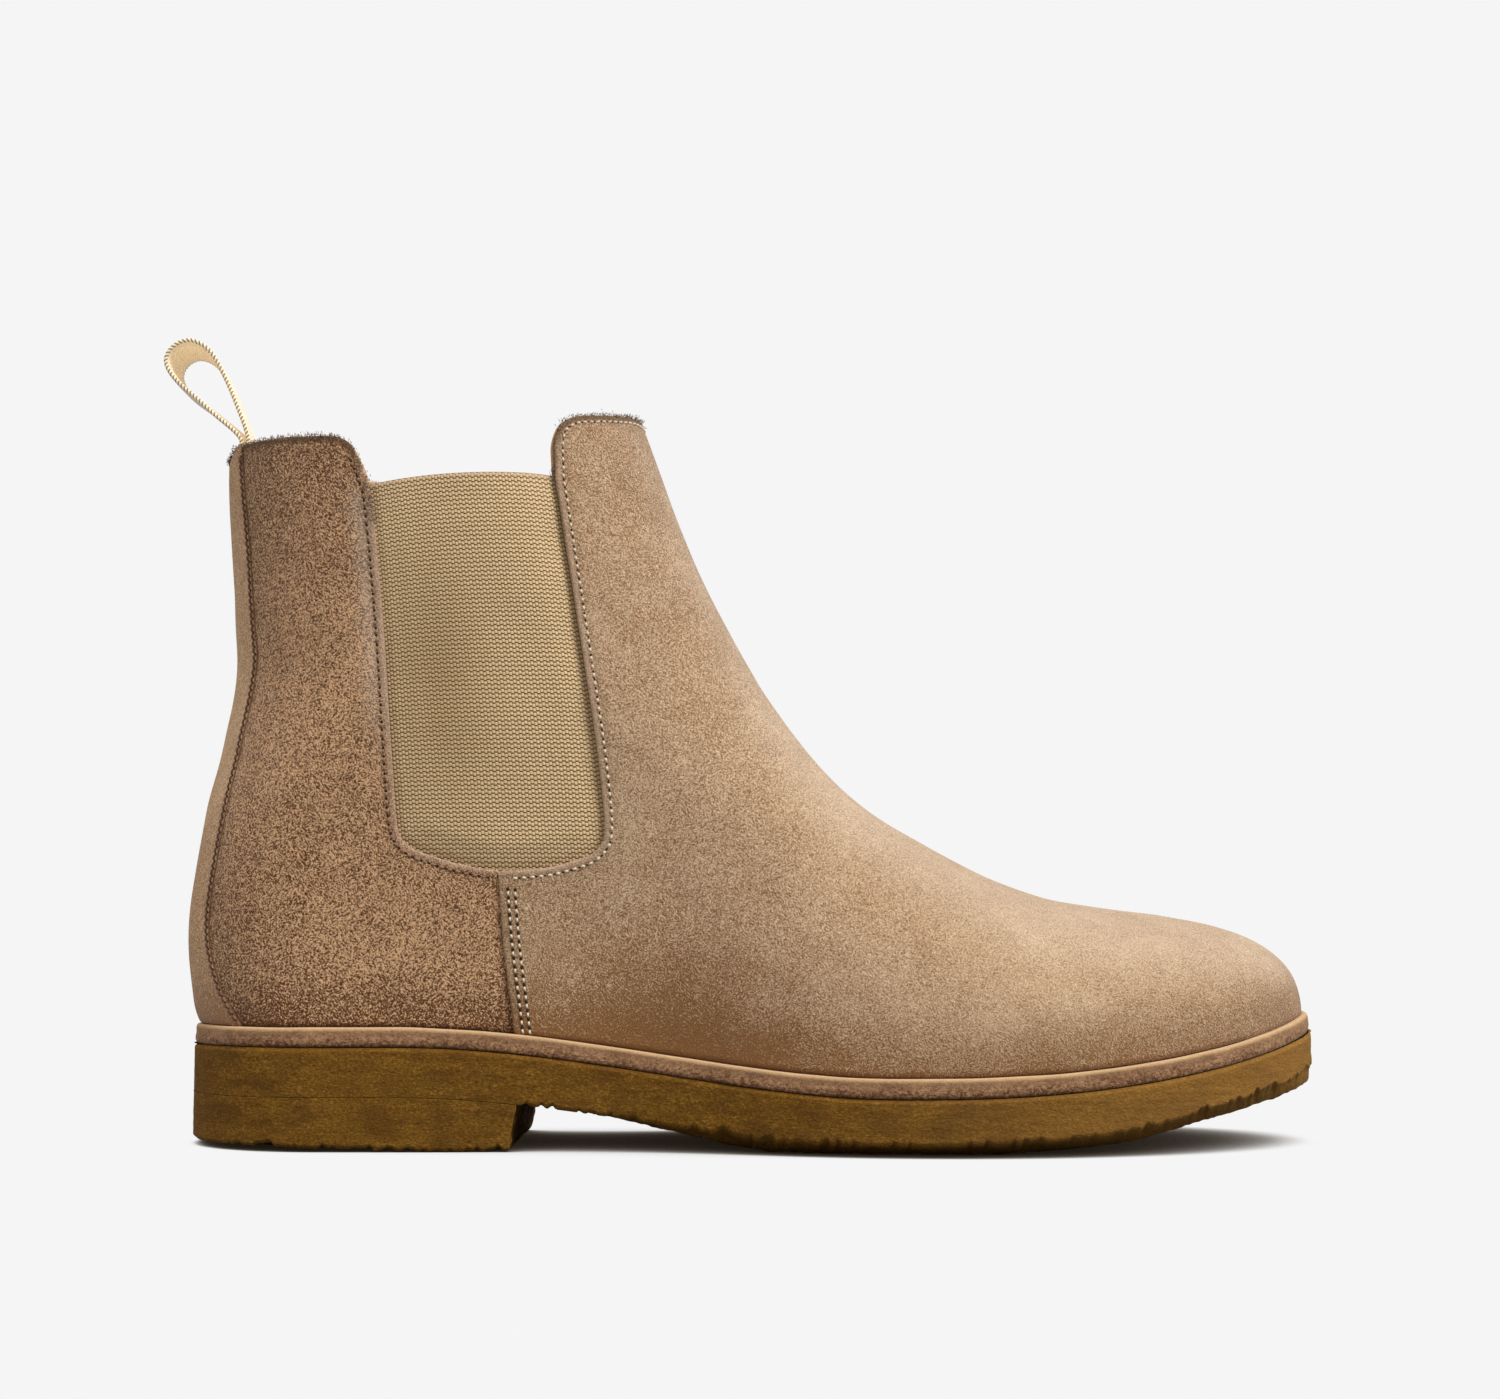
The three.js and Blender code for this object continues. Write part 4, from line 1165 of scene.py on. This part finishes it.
def pull_loop():
    """A strip swept along the loop and its two sewn-in tails, which cup round the back of the boot."""
    tails = [[(float(back_x(z)) + TAIL_SET + depth, z) for z in TAIL_HEIGHTS] for depth in TAIL_DEPTHS]
    turn_in = [(LOOP_BASE[0] - 0.75, LOOP_BASE[1]), (LOOP_BASE[0] + 0.45, LOOP_BASE[1])]
    loop = [turn_in[0]] + LOOP_CENTRE_LINE + [turn_in[1]]
    path = ByLength(spline(tails[0] + loop + tails[1][::-1], 16))
    steps = int(path.length / (0.22))
    share = np.linspace(0, 1, steps + 1)
    line = path(share)
    run = (share * path.length)[:, None]
    tangent = unit(np.gradient(line, axis=0))
    outward = np.stack([-tangent[:, 1], tangent[:, 0]], 1)
    in_tail = smooth(-line[:, 1:2], *TAIL_SPAN)
    thickness = mix(WEB_THICKNESS, TAIL_THICKNESS, in_tail)
    turn = np.linspace(0, 2 * np.pi, WEB_POINTS, endpoint=False)[None, :]
    across, through_web = np.cos(turn), np.sin(turn)
    across = np.sign(across) * np.abs(across) ** 0.45
    through_web = np.sign(through_web) * np.abs(through_web) ** 0.3
    ply = 0.5 + 0.5 * np.cos(2 * np.pi * (run / EDGE_PLY + PLY_TURN * through_web))
    selvedge = np.abs(across) ** 14
    ridge = RIDGE * np.cos(2 * np.pi * (run + across * WEB_WIDTH / 2) / TWILL_PITCH)
    y = across * WEB_WIDTH / 2 * (1 + EDGE_SWELL[0] * ply * selvedge)
    half_thickness = thickness / 2 * (1 + EDGE_SWELL[1] * ply * selvedge)
    bulge = through_web * half_thickness + ridge * through_web
    ease = 0.28 * noise(np.hstack([run, run * 0]), 15, 21)[:, None] * across
    cup = (1 - np.sqrt(1 - (y / BACK_CUP[0]) ** 2)) * BACK_CUP[1] - TAIL_SET
    turned = mix(*LOOP_TURN, smooth(share, *TURN_SPAN))[:, None] * y * (1 - in_tail)
    x = line[:, 0:1] - turned + outward[:, 0:1] * bulge + cup * in_tail
    z = line[:, 1:2] + outward[:, 1:2] * bulge + ease * (1 - in_tail) * 2
    points = np.stack([x, y, z], -1).reshape(-1, 3)
    last = steps * WEB_POINTS
    fan = range(1, WEB_POINTS - 1)
    caps = [[0, k, k + 1] for k in fan] + [[last, last + k + 1, last + k] for k in fan]
    faces = np.vstack([grid_faces(steps + 1, WEB_POINTS, True), caps])
    values = {"along": run, "across": across * WEB_WIDTH / 2, "face": through_web}
    values = {key: np.broadcast_to(value, x.shape).reshape(-1) for key, value in values.items()}
    obj = new_object("pull_loop_webbing", points, faces, cotton_webbing, values)
    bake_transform(obj)
    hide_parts("pull_tab", "pull_tab_anchor")


pull_loop()

# ---- Stitching ----

rng = np.random.default_rng(7)
THREAD_PITCH = 2.2
THREAD_RADIUS = 0.32
HOLE_RADIUS = 0.44
THREAD_LIFT = 0.02
STITCH_ENDS = -0.34
STITCH_ROWS = [(-0.8, 0.72), (-0.4, 1.0), (0.0, 1.05), (0.4, 1.0), (0.8, 0.72)]


def rows_on(sheet, level, wanted, outer):
    """Stretches of a line at a set distance from a piece's edge, as points on its face and normals."""
    found = []
    for points, normals in sheet.level_lines("edge", level):
        placed = points + normals * (outer(points) + soft_dents(points))[:, None]
        marks = np.flatnonzero(np.diff(np.concatenate([[0], wanted(points).astype(int), [0]])))
        found += [(placed[a:b], normals[a:b]) for a, b in zip(marks[::2], marks[1::2]) if b - a > 4]
    return found


def stitch_mesh(half_length, radius, sides=6):
    """One stitch along x, arched up in z, with sunk ends."""
    turn = np.linspace(0, 2 * np.pi, sides, endpoint=False)
    rows = [np.array([[-half_length, 0, STITCH_ENDS]])]
    for along, swell in STITCH_ROWS:
        rise = 0.2 * (1 - along * along) - 0.1 * along * along
        across, up = np.cos(turn) * radius * swell, np.sin(turn) * radius * swell + rise
        rows.append(np.stack([np.full(sides, along * half_length), across, up], 1))
    rows.append(np.array([[half_length, 0, STITCH_ENDS]]))
    points = np.vstack(rows)
    last = len(points) - 1
    faces = []
    for k in range(sides):
        after = (k + 1) % sides
        faces.append((0, 1 + after, 1 + k))
        faces.append((last, last - sides + k, last - sides + after))
        for row in range(len(STITCH_ROWS) - 1):
            a, b = 1 + row * sides, 1 + (row + 1) * sides
            faces += [(a + k, a + after, b + after), (a + k, b + after, b + k)]
    return points, np.array(faces)


def hole_mesh(radius, sides=8):
    """A shallow dimple where the needle went through, coloured dark with painted shade."""
    turn = np.linspace(0, 2 * np.pi, sides, endpoint=False)
    ring = np.stack([np.cos(turn) * radius * 1.2, np.sin(turn) * radius, np.zeros(sides)], 1)
    points = np.vstack([[[0, 0, 0.07]], ring + (0, 0, 0.03), ring * 0.9 + (0, 0, -0.25), [[0, 0, -0.25]]])
    last = len(points) - 1
    faces = []
    for k in range(sides):
        after = (k + 1) % sides
        top, next_top, low, next_low = 1 + k, 1 + after, 1 + sides + k, 1 + sides + after
        faces += [(0, top, next_top), (top, low, next_low), (top, next_low, next_top), (last, next_low, low)]
    return points, np.array(faces)


def scattered(template, centres, ahead, normals):
    """Copies of a small mesh at many places."""
    points, faces = template
    ahead = unit(ahead)
    across = unit(np.cross(normals, ahead))
    up = np.cross(ahead, across)
    frames = np.stack([ahead, across, up], 1)
    placed = centres[:, None, :] + np.einsum("pk,nkj->npj", points, frames)
    shifts = np.arange(len(centres)) * len(points)
    return placed.reshape(-1, 3), (faces[None] + shifts[:, None, None]).reshape(-1, 3)


def sew(name, curves, thread_material, pitch=THREAD_PITCH, radius=THREAD_RADIUS, filled=0.55):
    """Stitches and needle holes along curves that lie on the leather."""
    stitches, holes = [], []
    for points, directions in curves:
        path = ByLength(points)
        count = int(path.length / pitch)
        if count < 2:
            continue

        def at(where):
            facing = [np.interp(where, path.at, axis) for axis in directions.T]
            return path(where / path.length), np.stack(facing, -1)

        middle = (np.arange(count) + 0.5) * pitch
        centre, normal = at(middle)
        ahead = path((middle + 0.5) / path.length) - path((middle - 0.5) / path.length)
        ahead += rng.normal(0, 0.045, ahead.shape)
        stitches.append((centre + normal * THREAD_LIFT, ahead, normal))
        place, facing = at(middle + pitch / 2)
        holes.append((place, ahead, facing))
    for piece, template, places, material in (
        (name, stitch_mesh(pitch * filled / 2, radius), stitches, thread_material),
        (f"{name}_holes", hole_mesh(HOLE_RADIUS), holes, needle_hole),
    ):
        points, faces = scattered(template, *map(np.vstack, zip(*places)))
        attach(new_object(piece, points, faces, material), "boot")


def beside_vamp_gore(p):
    x, z = p[:, 0], p[:, 2]
    return (z > 66.2) & (x > -61.2) & (x < -26) & (z < TOPLINE_Z + 10)


def beside_side_seam(p):
    return (p[:, 2] < 66.5) & (p[:, 0] < -59.2 + 0.12 * (68 - p[:, 2]))


def beside_quarter_gore(p):
    x, z = p[:, 0], p[:, 2]
    return (x > -104) & (x < -64.5) & (z > 66.5) & (z < 181)


def beside_backstay(p):
    return (p[:, 0] > -144) & (p[:, 2] < 182) & (p[:, 2] > 30.5)


def level_face(height):
    """An outer face at one height over the whole piece."""
    return lambda p: np.full(len(p), height)


def quarter_face(p):
    return QUARTER_OUTER - QUARTER_TUCK * smooth(p[:, 0], *TUCK_SPAN) - 0.12


vamp_rows = rows_on(vamp, STITCH_INSET, beside_vamp_gore, level_face(-0.16))
sew("vamp_edge_stitches", vamp_rows, thread_light)
seam_double = []
for inset in (2.3, 4.1):
    seam_double += rows_on(vamp, inset, beside_side_seam, level_face(0.0))
sew("side_seam_stitches", seam_double, thread_light, 2.2, 0.27)
quarter_rows = []
for quarter in quarters.values():
    quarter_rows += rows_on(quarter, STITCH_INSET, beside_quarter_gore, quarter_face)
sew("quarter_edge_stitches", quarter_rows, thread_dark)
backstay_rows = rows_on(backstay, 0.5, beside_backstay, level_face(-0.22))
sew("backstay_stitches", backstay_rows, thread_seam, 1.9, 0.32, 1.1)

# ---- Raised nap along the cut topline ----


FIBRE_RADIUS = 0.11
FIBRE_RINGS = ((0.0, 1.0), (0.55, 0.8))
FIBRE_POINTS = 7
FIBRE_FACES = np.array([
    (0, 2, 1), (0, 1, 4), (0, 4, 3), (1, 2, 5), (1, 5, 4),
    (2, 0, 3), (2, 3, 5), (3, 4, 6), (4, 5, 6), (5, 3, 6),
])


def fibres(name, sheet, wanted, outer, count, length, material):
    """Short loose fibres standing off the raw edge of the suede."""
    near = np.flatnonzero((sheet.values["edge"] < 0.9) & wanted(sheet.points))
    pick = rng.choice(near, count)
    roots = sheet.points[pick] + rng.normal(0, 0.35, (count, 3))
    normals = sheet.normals[pick]
    roots = roots + normals * (outer - 0.6 * rng.random((count, 1)))
    lean = normals * rng.uniform(0.1, 1.0, (count, 1))
    lean = lean + np.array([0, 0, 1.0]) * rng.uniform(0.4, 1.3, (count, 1))
    lean = unit(lean + rng.normal(0, 0.5, (count, 3)))
    side = unit(np.cross(lean, rng.normal(0, 1, (count, 3))))
    other = np.cross(lean, side)
    reach = length * rng.uniform(0.5, 1.2, (count, 1))
    bend = rng.normal(0, 0.22, (count, 3))
    corners = []
    for share, width in FIBRE_RINGS:
        middle = roots + lean * reach * share + bend * share ** 2
        for turn in (0, 2 * math.pi / 3, 4 * math.pi / 3):
            spoke = side * math.cos(turn) + other * math.sin(turn)
            corners.append(middle + spoke * FIBRE_RADIUS * width)
    corners.append(roots + lean * reach + bend)
    points = np.stack(corners, 1).reshape(-1, 3)
    shifts = np.arange(count) * FIBRE_POINTS
    faces = (FIBRE_FACES[None] + shifts[:, None, None]).reshape(-1, 3)
    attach(new_object(name, points, faces, material), "boot")


NAP_LENGTH = 0.55
NAP_COUNT = 1300
GORE_CORNER = (-50.4, 174.4)


def above(height):
    """Chooses the points over a height."""
    return lambda p: p[:, 2] > height


def at_gore_corner(p):
    near = np.hypot(p[:, 0] - GORE_CORNER[0], p[:, 2] - GORE_CORNER[1]) < 1.2
    return near & (p[:, 1] < 0)


fibres("vamp_topline_nap", vamp, above(176), 0.0, NAP_COUNT, NAP_LENGTH, suede_nap)
for side, label in SIDES:
    fibres(f"quarter_{label}_topline_nap", quarters[side], above(160), QUARTER_OUTER, NAP_COUNT, NAP_LENGTH,
           suede_nap)
fibres("backstay_topline_nap", backstay, above(178), 0.1, NAP_COUNT // 3, NAP_LENGTH, suede_nap)
fibres("gore_corner_tuft", vamp, at_gore_corner, -1.2, 70, 1.7, thread_dark)

# ---- Sole ----

RAND_INSET = 0.6
HEEL_REAR_LIFT = 1.5
TREAD_CROWN_SPAN = (-55, 10)
WAIST_CROWN = 0.3
WALL_INSET = 0.25
GAP = 0.3


def outsole_top(x):
    return rand_top(x) - RAND_HEIGHT - GAP


def outsole_edge(x):
    thinning = FORE_THINNING * smooth(x, *FORE_THINNING_SPAN)
    thinning = thinning + TIP_THINNING * smooth(x, *TIP_THINNING_SPAN)
    return outsole_top(x) - OUTSOLE_DEPTH + thinning


def tread_height(x):
    crown = mix(WAIST_CROWN, TREAD_CROWN, smooth(x, *TREAD_CROWN_SPAN))
    return np.maximum(0, outsole_edge(x) - crown)


def outline_loop(spacing, inset=0.0):
    """The sole outline from above as evenly spaced points and outward normals, outer side first."""
    turn = np.linspace(0, 1, 4000)
    x = mix(SOLE_REAR + inset, SOLE_TIP - inset, (1 - np.cos(np.pi * turn)) / 2)
    outer = np.stack([x, outline_middle(x) - outline_half(x, -1, inset)], 1)
    inner = np.stack([x, outline_middle(x) + outline_half(x, 1, inset)], 1)
    ring = np.vstack([outer[:-1], inner[::-1][:-1], outer[:1]])
    path = ByLength(ring)
    count = int(path.length / spacing)
    points = path(np.linspace(0, 1, count, endpoint=False))
    ahead = np.roll(points, -1, 0) - np.roll(points, 1, 0)
    return points, unit(np.stack([ahead[:, 1], -ahead[:, 0]], 1))


def strata(points, seed=31):
    """How far layered crepe rubber stands out from a smooth wall."""
    long_layers = noise(points / (14, 14, 1.0), 1, seed) * 0.05
    short_layers = noise(points / (5, 5, 1.4), 1, seed + 1) * 0.06
    lumps = noise(points / (1.9, 1.9, 1.3), 1, seed + 2) * 0.07 + noise(points, 34, seed + 3) * 0.2
    return long_layers + short_layers + lumps


def crumbs(points, seed=41):
    """Rise of the torn lower edge."""
    fine = noise(points[:, :2], 1.35, seed)
    coarse = noise(points[:, :2], 4.2, seed + 1)
    return np.maximum(0, 1.15 * fine + 0.7 * coarse + 0.15)


def shrunk(points, share):
    """Points moved in towards the middle line of the sole, seen from above."""
    middle = outline_middle(points[:, 0])
    return np.stack([points[:, 0], mix(middle, points[:, 1], share)], 1)


def stacked_rows(rows):
    """Vertices and triangles of closed rings, each joined to the next."""
    return np.vstack(rows), grid_faces(len(rows), len(rows[0]), True)


def tread_rows(ring, heights, floor_at, steps, seed):
    """Rings that close a sole's underside towards the middle line, lightly pebbled."""
    rows = []
    for share in np.linspace(1, 0, steps)[1:]:
        xy = shrunk(ring, share)
        z = mix(floor_at(xy[:, 0]), heights, np.clip((share - 0.86) / 0.14, 0, 1) ** 0.7)
        pebble = 0.35 * np.abs(noise(xy, 2.4, seed)) + 0.25 * np.abs(noise(xy, 6.0, seed + 1))
        rows.append(np.column_stack([xy, np.maximum(z + pebble * min(1, share * 8), 0.0)]))
    return rows


def welded_piece(name, node, rows, material, values=None):
    """A closed piece from stacked rings, with its folded-shut ends welded."""
    points, faces = stacked_rows(rows)
    obj = new_object(name, points, faces, material, values)
    bm = bmesh.new()
    bm.from_mesh(obj.data)
    bmesh.ops.remove_doubles(bm, verts=bm.verts, dist=0.00001)
    bmesh.ops.dissolve_degenerate(bm, edges=bm.edges, dist=0.000005)
    bmesh.ops.recalc_face_normals(bm, faces=bm.faces)
    bm.to_mesh(obj.data)
    bm.free()
    finish_piece(obj, [node])


def outsole():
    ring, outward = outline_loop(0.6)
    top, edge = outsole_top(ring[:, 0]), outsole_edge(ring[:, 0])
    in_heel = smooth(-ring[:, 0], 56, 60)
    ragged = crumbs(np.column_stack([ring, edge])) * (1 - in_heel)
    low = np.maximum(mix(edge - 0.3 + ragged, tread_height(ring[:, 0]), in_heel), 0.0)
    rows = [np.column_stack([shrunk(ring, share), top]) for share in (0.0, 0.5, 0.9)]
    for share in np.linspace(0, 1, 40):
        z = mix(top, low, share)
        wall = np.column_stack([ring, z])
        tucked = 0.75 * (1 - smooth(top - z, 0.0, 0.9))
        rolled_in = 0.55 * max(0, share - 0.93) / 0.07 * (1 - in_heel)
        stand = strata(wall) - WALL_INSET - tucked - rolled_in
        rows.append(np.column_stack([ring + outward * stand[:, None], z]))
    rows += tread_rows(ring - outward * 0.8, low, lambda x: tread_height(x) + 0.05, 16, 51)
    welded_piece("outsole_crepe", "outsole", rows, crepe_rubber)


def rear_lift(x):
    """The heel's rear edge is slightly rolled up off the floor."""
    return HEEL_REAR_LIFT * smooth(-x, 80, 132)


def heel_block():
    spacing = 0.6
    side_count, breast_count = int(130 / spacing), int(70 / spacing)
    turn = np.linspace(0, 1, side_count)
    along = mix(1 - np.cos(np.pi * turn / 2), turn, 0.25)
    breast = np.linspace(0, 1, breast_count + 2)[1:-1]

    def ring_at(front):
        x = mix(SOLE_REAR, front, along)
        middle = outline_middle(x)
        outer = np.stack([x, middle - outline_half(x, -1, 0)], 1)[::-1]
        inner = np.stack([x, middle + outline_half(x, 1, 0)], 1)[1:]
        face = np.stack([np.full(breast_count, front), mix(inner[-1, 1], outer[0, 1], breast)], 1)
        return np.vstack([outer, inner, face])

    rows = []
    floor_rows = 46
    for share in np.linspace(0, 1, floor_rows):
        front = mix(BREAST_TOP_X, BREAST_BOTTOM_X, share)
        ring = ring_at(front)
        ahead = np.roll(ring, -1, 0) - np.roll(ring, 1, 0)
        outward = np.stack([-ahead[:, 1], ahead[:, 0]], 1)
        outward /= np.maximum(np.linalg.norm(outward, axis=1, keepdims=True), 1e-9)
        outward *= np.sign(np.einsum("ij,ij->i", outward, ring - [(SOLE_REAR + front) / 2, 0]))[:, None]
        top = tread_height(ring[:, 0]) - 0.02
        ragged = crumbs(np.column_stack([ring, top]), 61)
        at_breast = smooth(ring[:, 0], front - 0.4, front)
        low = ragged * 0.8 + rear_lift(ring[:, 0])
        z = mix(top, low, share)
        wall = np.column_stack([ring, z])
        rolled_in = 0.7 * max(0, share - 0.94) / 0.06
        stand = strata(wall) - WALL_INSET - rolled_in + 0.5 * noise(wall, 2.6, 64) * at_breast
        if share == 0:
            rows += [np.column_stack([shrunk(ring, s), top]) for s in (0.0, 0.5, 0.9)]
        rows.append(np.column_stack([ring + outward * stand[:, None], z]))
    rows += tread_rows(ring - outward * 0.9, low, lambda x: 0.02 + 0.7 * rear_lift(x), 10, 66)
    welded_piece("heel_crepe", "heel_block", rows, crepe_rubber)


RAND_TIP_INSET = 0.5
RAND_PROFILE = [
    (5.4, -4.6), (3.0, -4.6), (0.9, -4.6), (0.25, -4.45), (-0.1, -3.9), (-0.15, -3.0), (0.0, -2.1),
    (0.0, -1.3), (-0.02, -0.6), (0.3, 0.08), (0.9, 0.3), (1.5, 0.22), (2.05, -0.25), (2.5, -0.85),
    (3.1, -0.95), (5.4, -0.95),
]


def rand():
    """The suede-covered strip: one profile, inward and upward from the sole's edge, carried round it."""
    ring, outward = outline_loop(0.7, RAND_INSET)
    profile = spline(RAND_PROFILE, 3)
    rows = []
    tip_inset = RAND_TIP_INSET * smooth(ring[:, 0:1], 118, 150)
    for inset, height in profile:
        xy = ring - outward * (inset + tip_inset)
        z = rand_top(ring[:, 0]) + height
        wall = np.column_stack([ring, z])
        swell = 0.22 * noise(wall, 8, 71) + 0.12 * noise(wall, 2.6, 72)
        face = np.clip(1 - abs(height + 2.0) / 3.0, 0, 1) * (inset < 2)
        xy = xy + outward * (swell * face)[:, None]
        z = z + 0.14 * noise(wall, 11, 73) * (height > -1)
        rows.append(np.column_stack([xy, z]))
    rows.append(rows[0])
    height = np.repeat([h for _, h in profile] + [profile[0][1]], len(ring))
    welded_piece("rand_suede", "rand", rows, suede_rand, {"height": height})


outsole()
heel_block()
rand()

# ---- Inside ----

INSIDE = 10.2
BOARD_TOP = 4.9
PAD_FRONT = -66.0
SOCK_THICKNESS = 1.3


def crowned_plate(name, node, inset, bottom, top, crown, front, material):
    """A soft plate on the footbed: flat below, crowned on top, with rounded edges."""
    start = SOLE_REAR + inset
    stop = SOLE_TIP - inset if front is None else front
    lengthways = (1 - np.cos(np.pi * np.linspace(0, 1, 90))) / 2
    x = mix(start, stop, lengthways)[:, None]
    share = np.sin(np.pi / 2 * np.linspace(-1, 1, 41))[None, :]
    side = np.where(share < 0, -1.0, 1.0)
    half = np.where(share < 0, outline_half(x, -1, inset), outline_half(x, 1, inset))
    y = outline_middle(x) + np.abs(share) * side * np.maximum(half, 0.6)
    from_edge = np.minimum(np.maximum(half, 0.6) * (1 - np.abs(share)), np.minimum(x - start, stop - x))
    swell = round_in(from_edge + 0.02, 2.4)
    low = bottom(x) + 0 * y
    thick = top(x) - bottom(x)
    high = low + np.maximum(thick * (0.35 + 0.65 * swell), 0.15) + crown * smooth(from_edge, 0, 16) - crown
    across = x + 0 * y
    points, faces = closed_slab(np.stack([across, y, high], -1), np.stack([across, y, low], -1))
    return finish_piece(new_object(name, points, faces[:, ::-1], material), [node])


def pad_bottom(x):
    return rand_top(x) + BOARD_TOP + GAP


def sock_bottom(x):
    return pad_bottom(x) + 3.4 * (1 - smooth(x, -88, -46))


def pad_top(x):
    return pad_bottom(x) + mix(3, 0.5, smooth(x, -95, PAD_FRONT))


def sock_top(x):
    return sock_bottom(x) + SOCK_THICKNESS


heel_pad = crowned_plate("heel_pad_latex", "heel_pad", INSIDE + 3, pad_bottom, pad_top, 0.3, PAD_FRONT,
                         latex_foam)
crowned_plate("sock_liner_leather", "sock_liner", INSIDE + 0.8, sock_bottom, sock_top, 0.0, None, leather)
for node, material in (
    ("midsole", foam_board),
    ("cork_filler", cork_grain),
    ("shank", spring_steel),
    ("insole_board", fibre_board),
    ("toe_puff", stiff_felt),
    ("heel_counter", stiff_felt),
):
    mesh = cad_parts[node].data
    mesh.materials.clear()
    mesh.materials.append(material)

# ---- Camera, light and floor ----

LENS = 59.8
CAMERA_PLACE = (SHIFT[0], -670.0, 59.0)
CAMERA_PITCH = 5.0
BACKDROP = linear(245, 245, 245)
SKY_LOW, SKY_HIGH = 0.22, 0.95
FLOOR_BOUNCE = 0.26
DOME_TINT = (1.0, 0.965, 0.92, 1)


def make_camera():
    data = bpy.data.cameras.new("camera")
    data.lens = LENS
    data.sensor_width = 36.0
    camera = linked("camera", data)
    camera.location = [c * MM for c in CAMERA_PLACE]
    camera.rotation_euler = (math.radians(90 + CAMERA_PITCH), 0, 0)
    bpy.context.scene.camera = camera


def sun(name, towards, softness, power, colour=(1, 1, 1)):
    """A large even light, seen from the boot in the direction towards."""
    data = bpy.data.lights.new(name, "SUN")
    data.angle = math.radians(softness)
    data.energy = power
    data.color = colour
    light = linked(name, data)
    light.rotation_mode = "QUATERNION"
    light.rotation_quaternion = Vector(towards).to_track_quat("Z", "Y")
    light.location = Vector(towards).normalized() * 2


def make_world():
    """Soft light from an overhead dome, in front of an even pale backdrop."""
    world = bpy.data.worlds.new("studio")
    bpy.context.scene.world = world
    world.use_nodes = True
    tree = world.node_tree
    dome = tree.nodes["Background"]
    place = tree.nodes.new("ShaderNodeTexCoord")
    split = tree.nodes.new("ShaderNodeSeparateXYZ")
    height = tree.nodes.new("ShaderNodeMapRange")
    limits = {"From Min": -0.1, "From Max": 0.9, "To Min": SKY_LOW, "To Max": SKY_HIGH}
    for key, number in limits.items():
        height.inputs[key].default_value = number
    tree.links.new(place.outputs["Generated"], split.inputs[0])
    tree.links.new(split.outputs["Z"], height.inputs["Value"])
    tree.links.new(height.outputs["Result"], dome.inputs["Strength"])
    dome.inputs["Color"].default_value = DOME_TINT
    seen = tree.nodes.new("ShaderNodeBackground")
    seen.inputs["Color"].default_value = BACKDROP
    ray = tree.nodes.new("ShaderNodeLightPath")
    blend = tree.nodes.new("ShaderNodeMixShader")
    tree.links.new(ray.outputs["Is Camera Ray"], blend.inputs["Fac"])
    tree.links.new(dome.outputs[0], blend.inputs[1])
    tree.links.new(seen.outputs[0], blend.inputs[2])
    tree.links.new(blend.outputs[0], tree.nodes["World Output"].inputs["Surface"])


def make_floor():
    """An evenly lit white sweep with a painted contact shadow: its colour darkens close to and under what
    stands on it.
    """
    n = Nodes("floor_sweep")
    openness = n.node("ShaderNodeAmbientOcclusion", samples=16)
    openness.inputs["Distance"].default_value = 0.075
    # Painted contact shadow: the less open the floor is, the darker its colour.
    shade = n.node("ShaderNodeValToRGB")
    n.put(shade.inputs["Fac"], openness.outputs["AO"])
    stops = shade.color_ramp.elements
    stops[0].position, stops[0].color = 0.0, linear(26, 20, 15)
    stops[1].position, stops[1].color = 0.56, BACKDROP
    shades = ((0.1, linear(60, 52, 46)), (0.28, linear(132, 127, 122)), (0.45, linear(216, 214, 212)))
    for at, colour in shades:
        stops.new(at).color = colour
    bounce = n.ramp(n.node("ShaderNodeLightPath").outputs["Is Camera Ray"], 0, 1, FLOOR_BOUNCE, 1.0)
    material = n.finish((0, 0, 0, 1), 1.0, Specular_IOR_Level=0.0, Emission_Color=shade.outputs["Color"],
                        Emission_Strength=bounce)
    material.cycles.emission_sampling = "NONE"
    bm = bmesh.new()
    bmesh.ops.create_grid(bm, x_segments=8, y_segments=8, size=12.0)
    mesh = bpy.data.meshes.new("floor")
    bm.to_mesh(mesh)
    bm.free()
    mesh.materials.append(material)
    floor = linked("floor", mesh)


make_camera()
make_world()
make_floor()
sun("key", (0.56, -0.48, 0.72), 30, 2.65, (0.97, 0.99, 1.02))
sun("rim", (-0.8, -0.1, 0.3), 20, 0.5)
bpy.context.scene.view_settings.view_transform = "Standard"
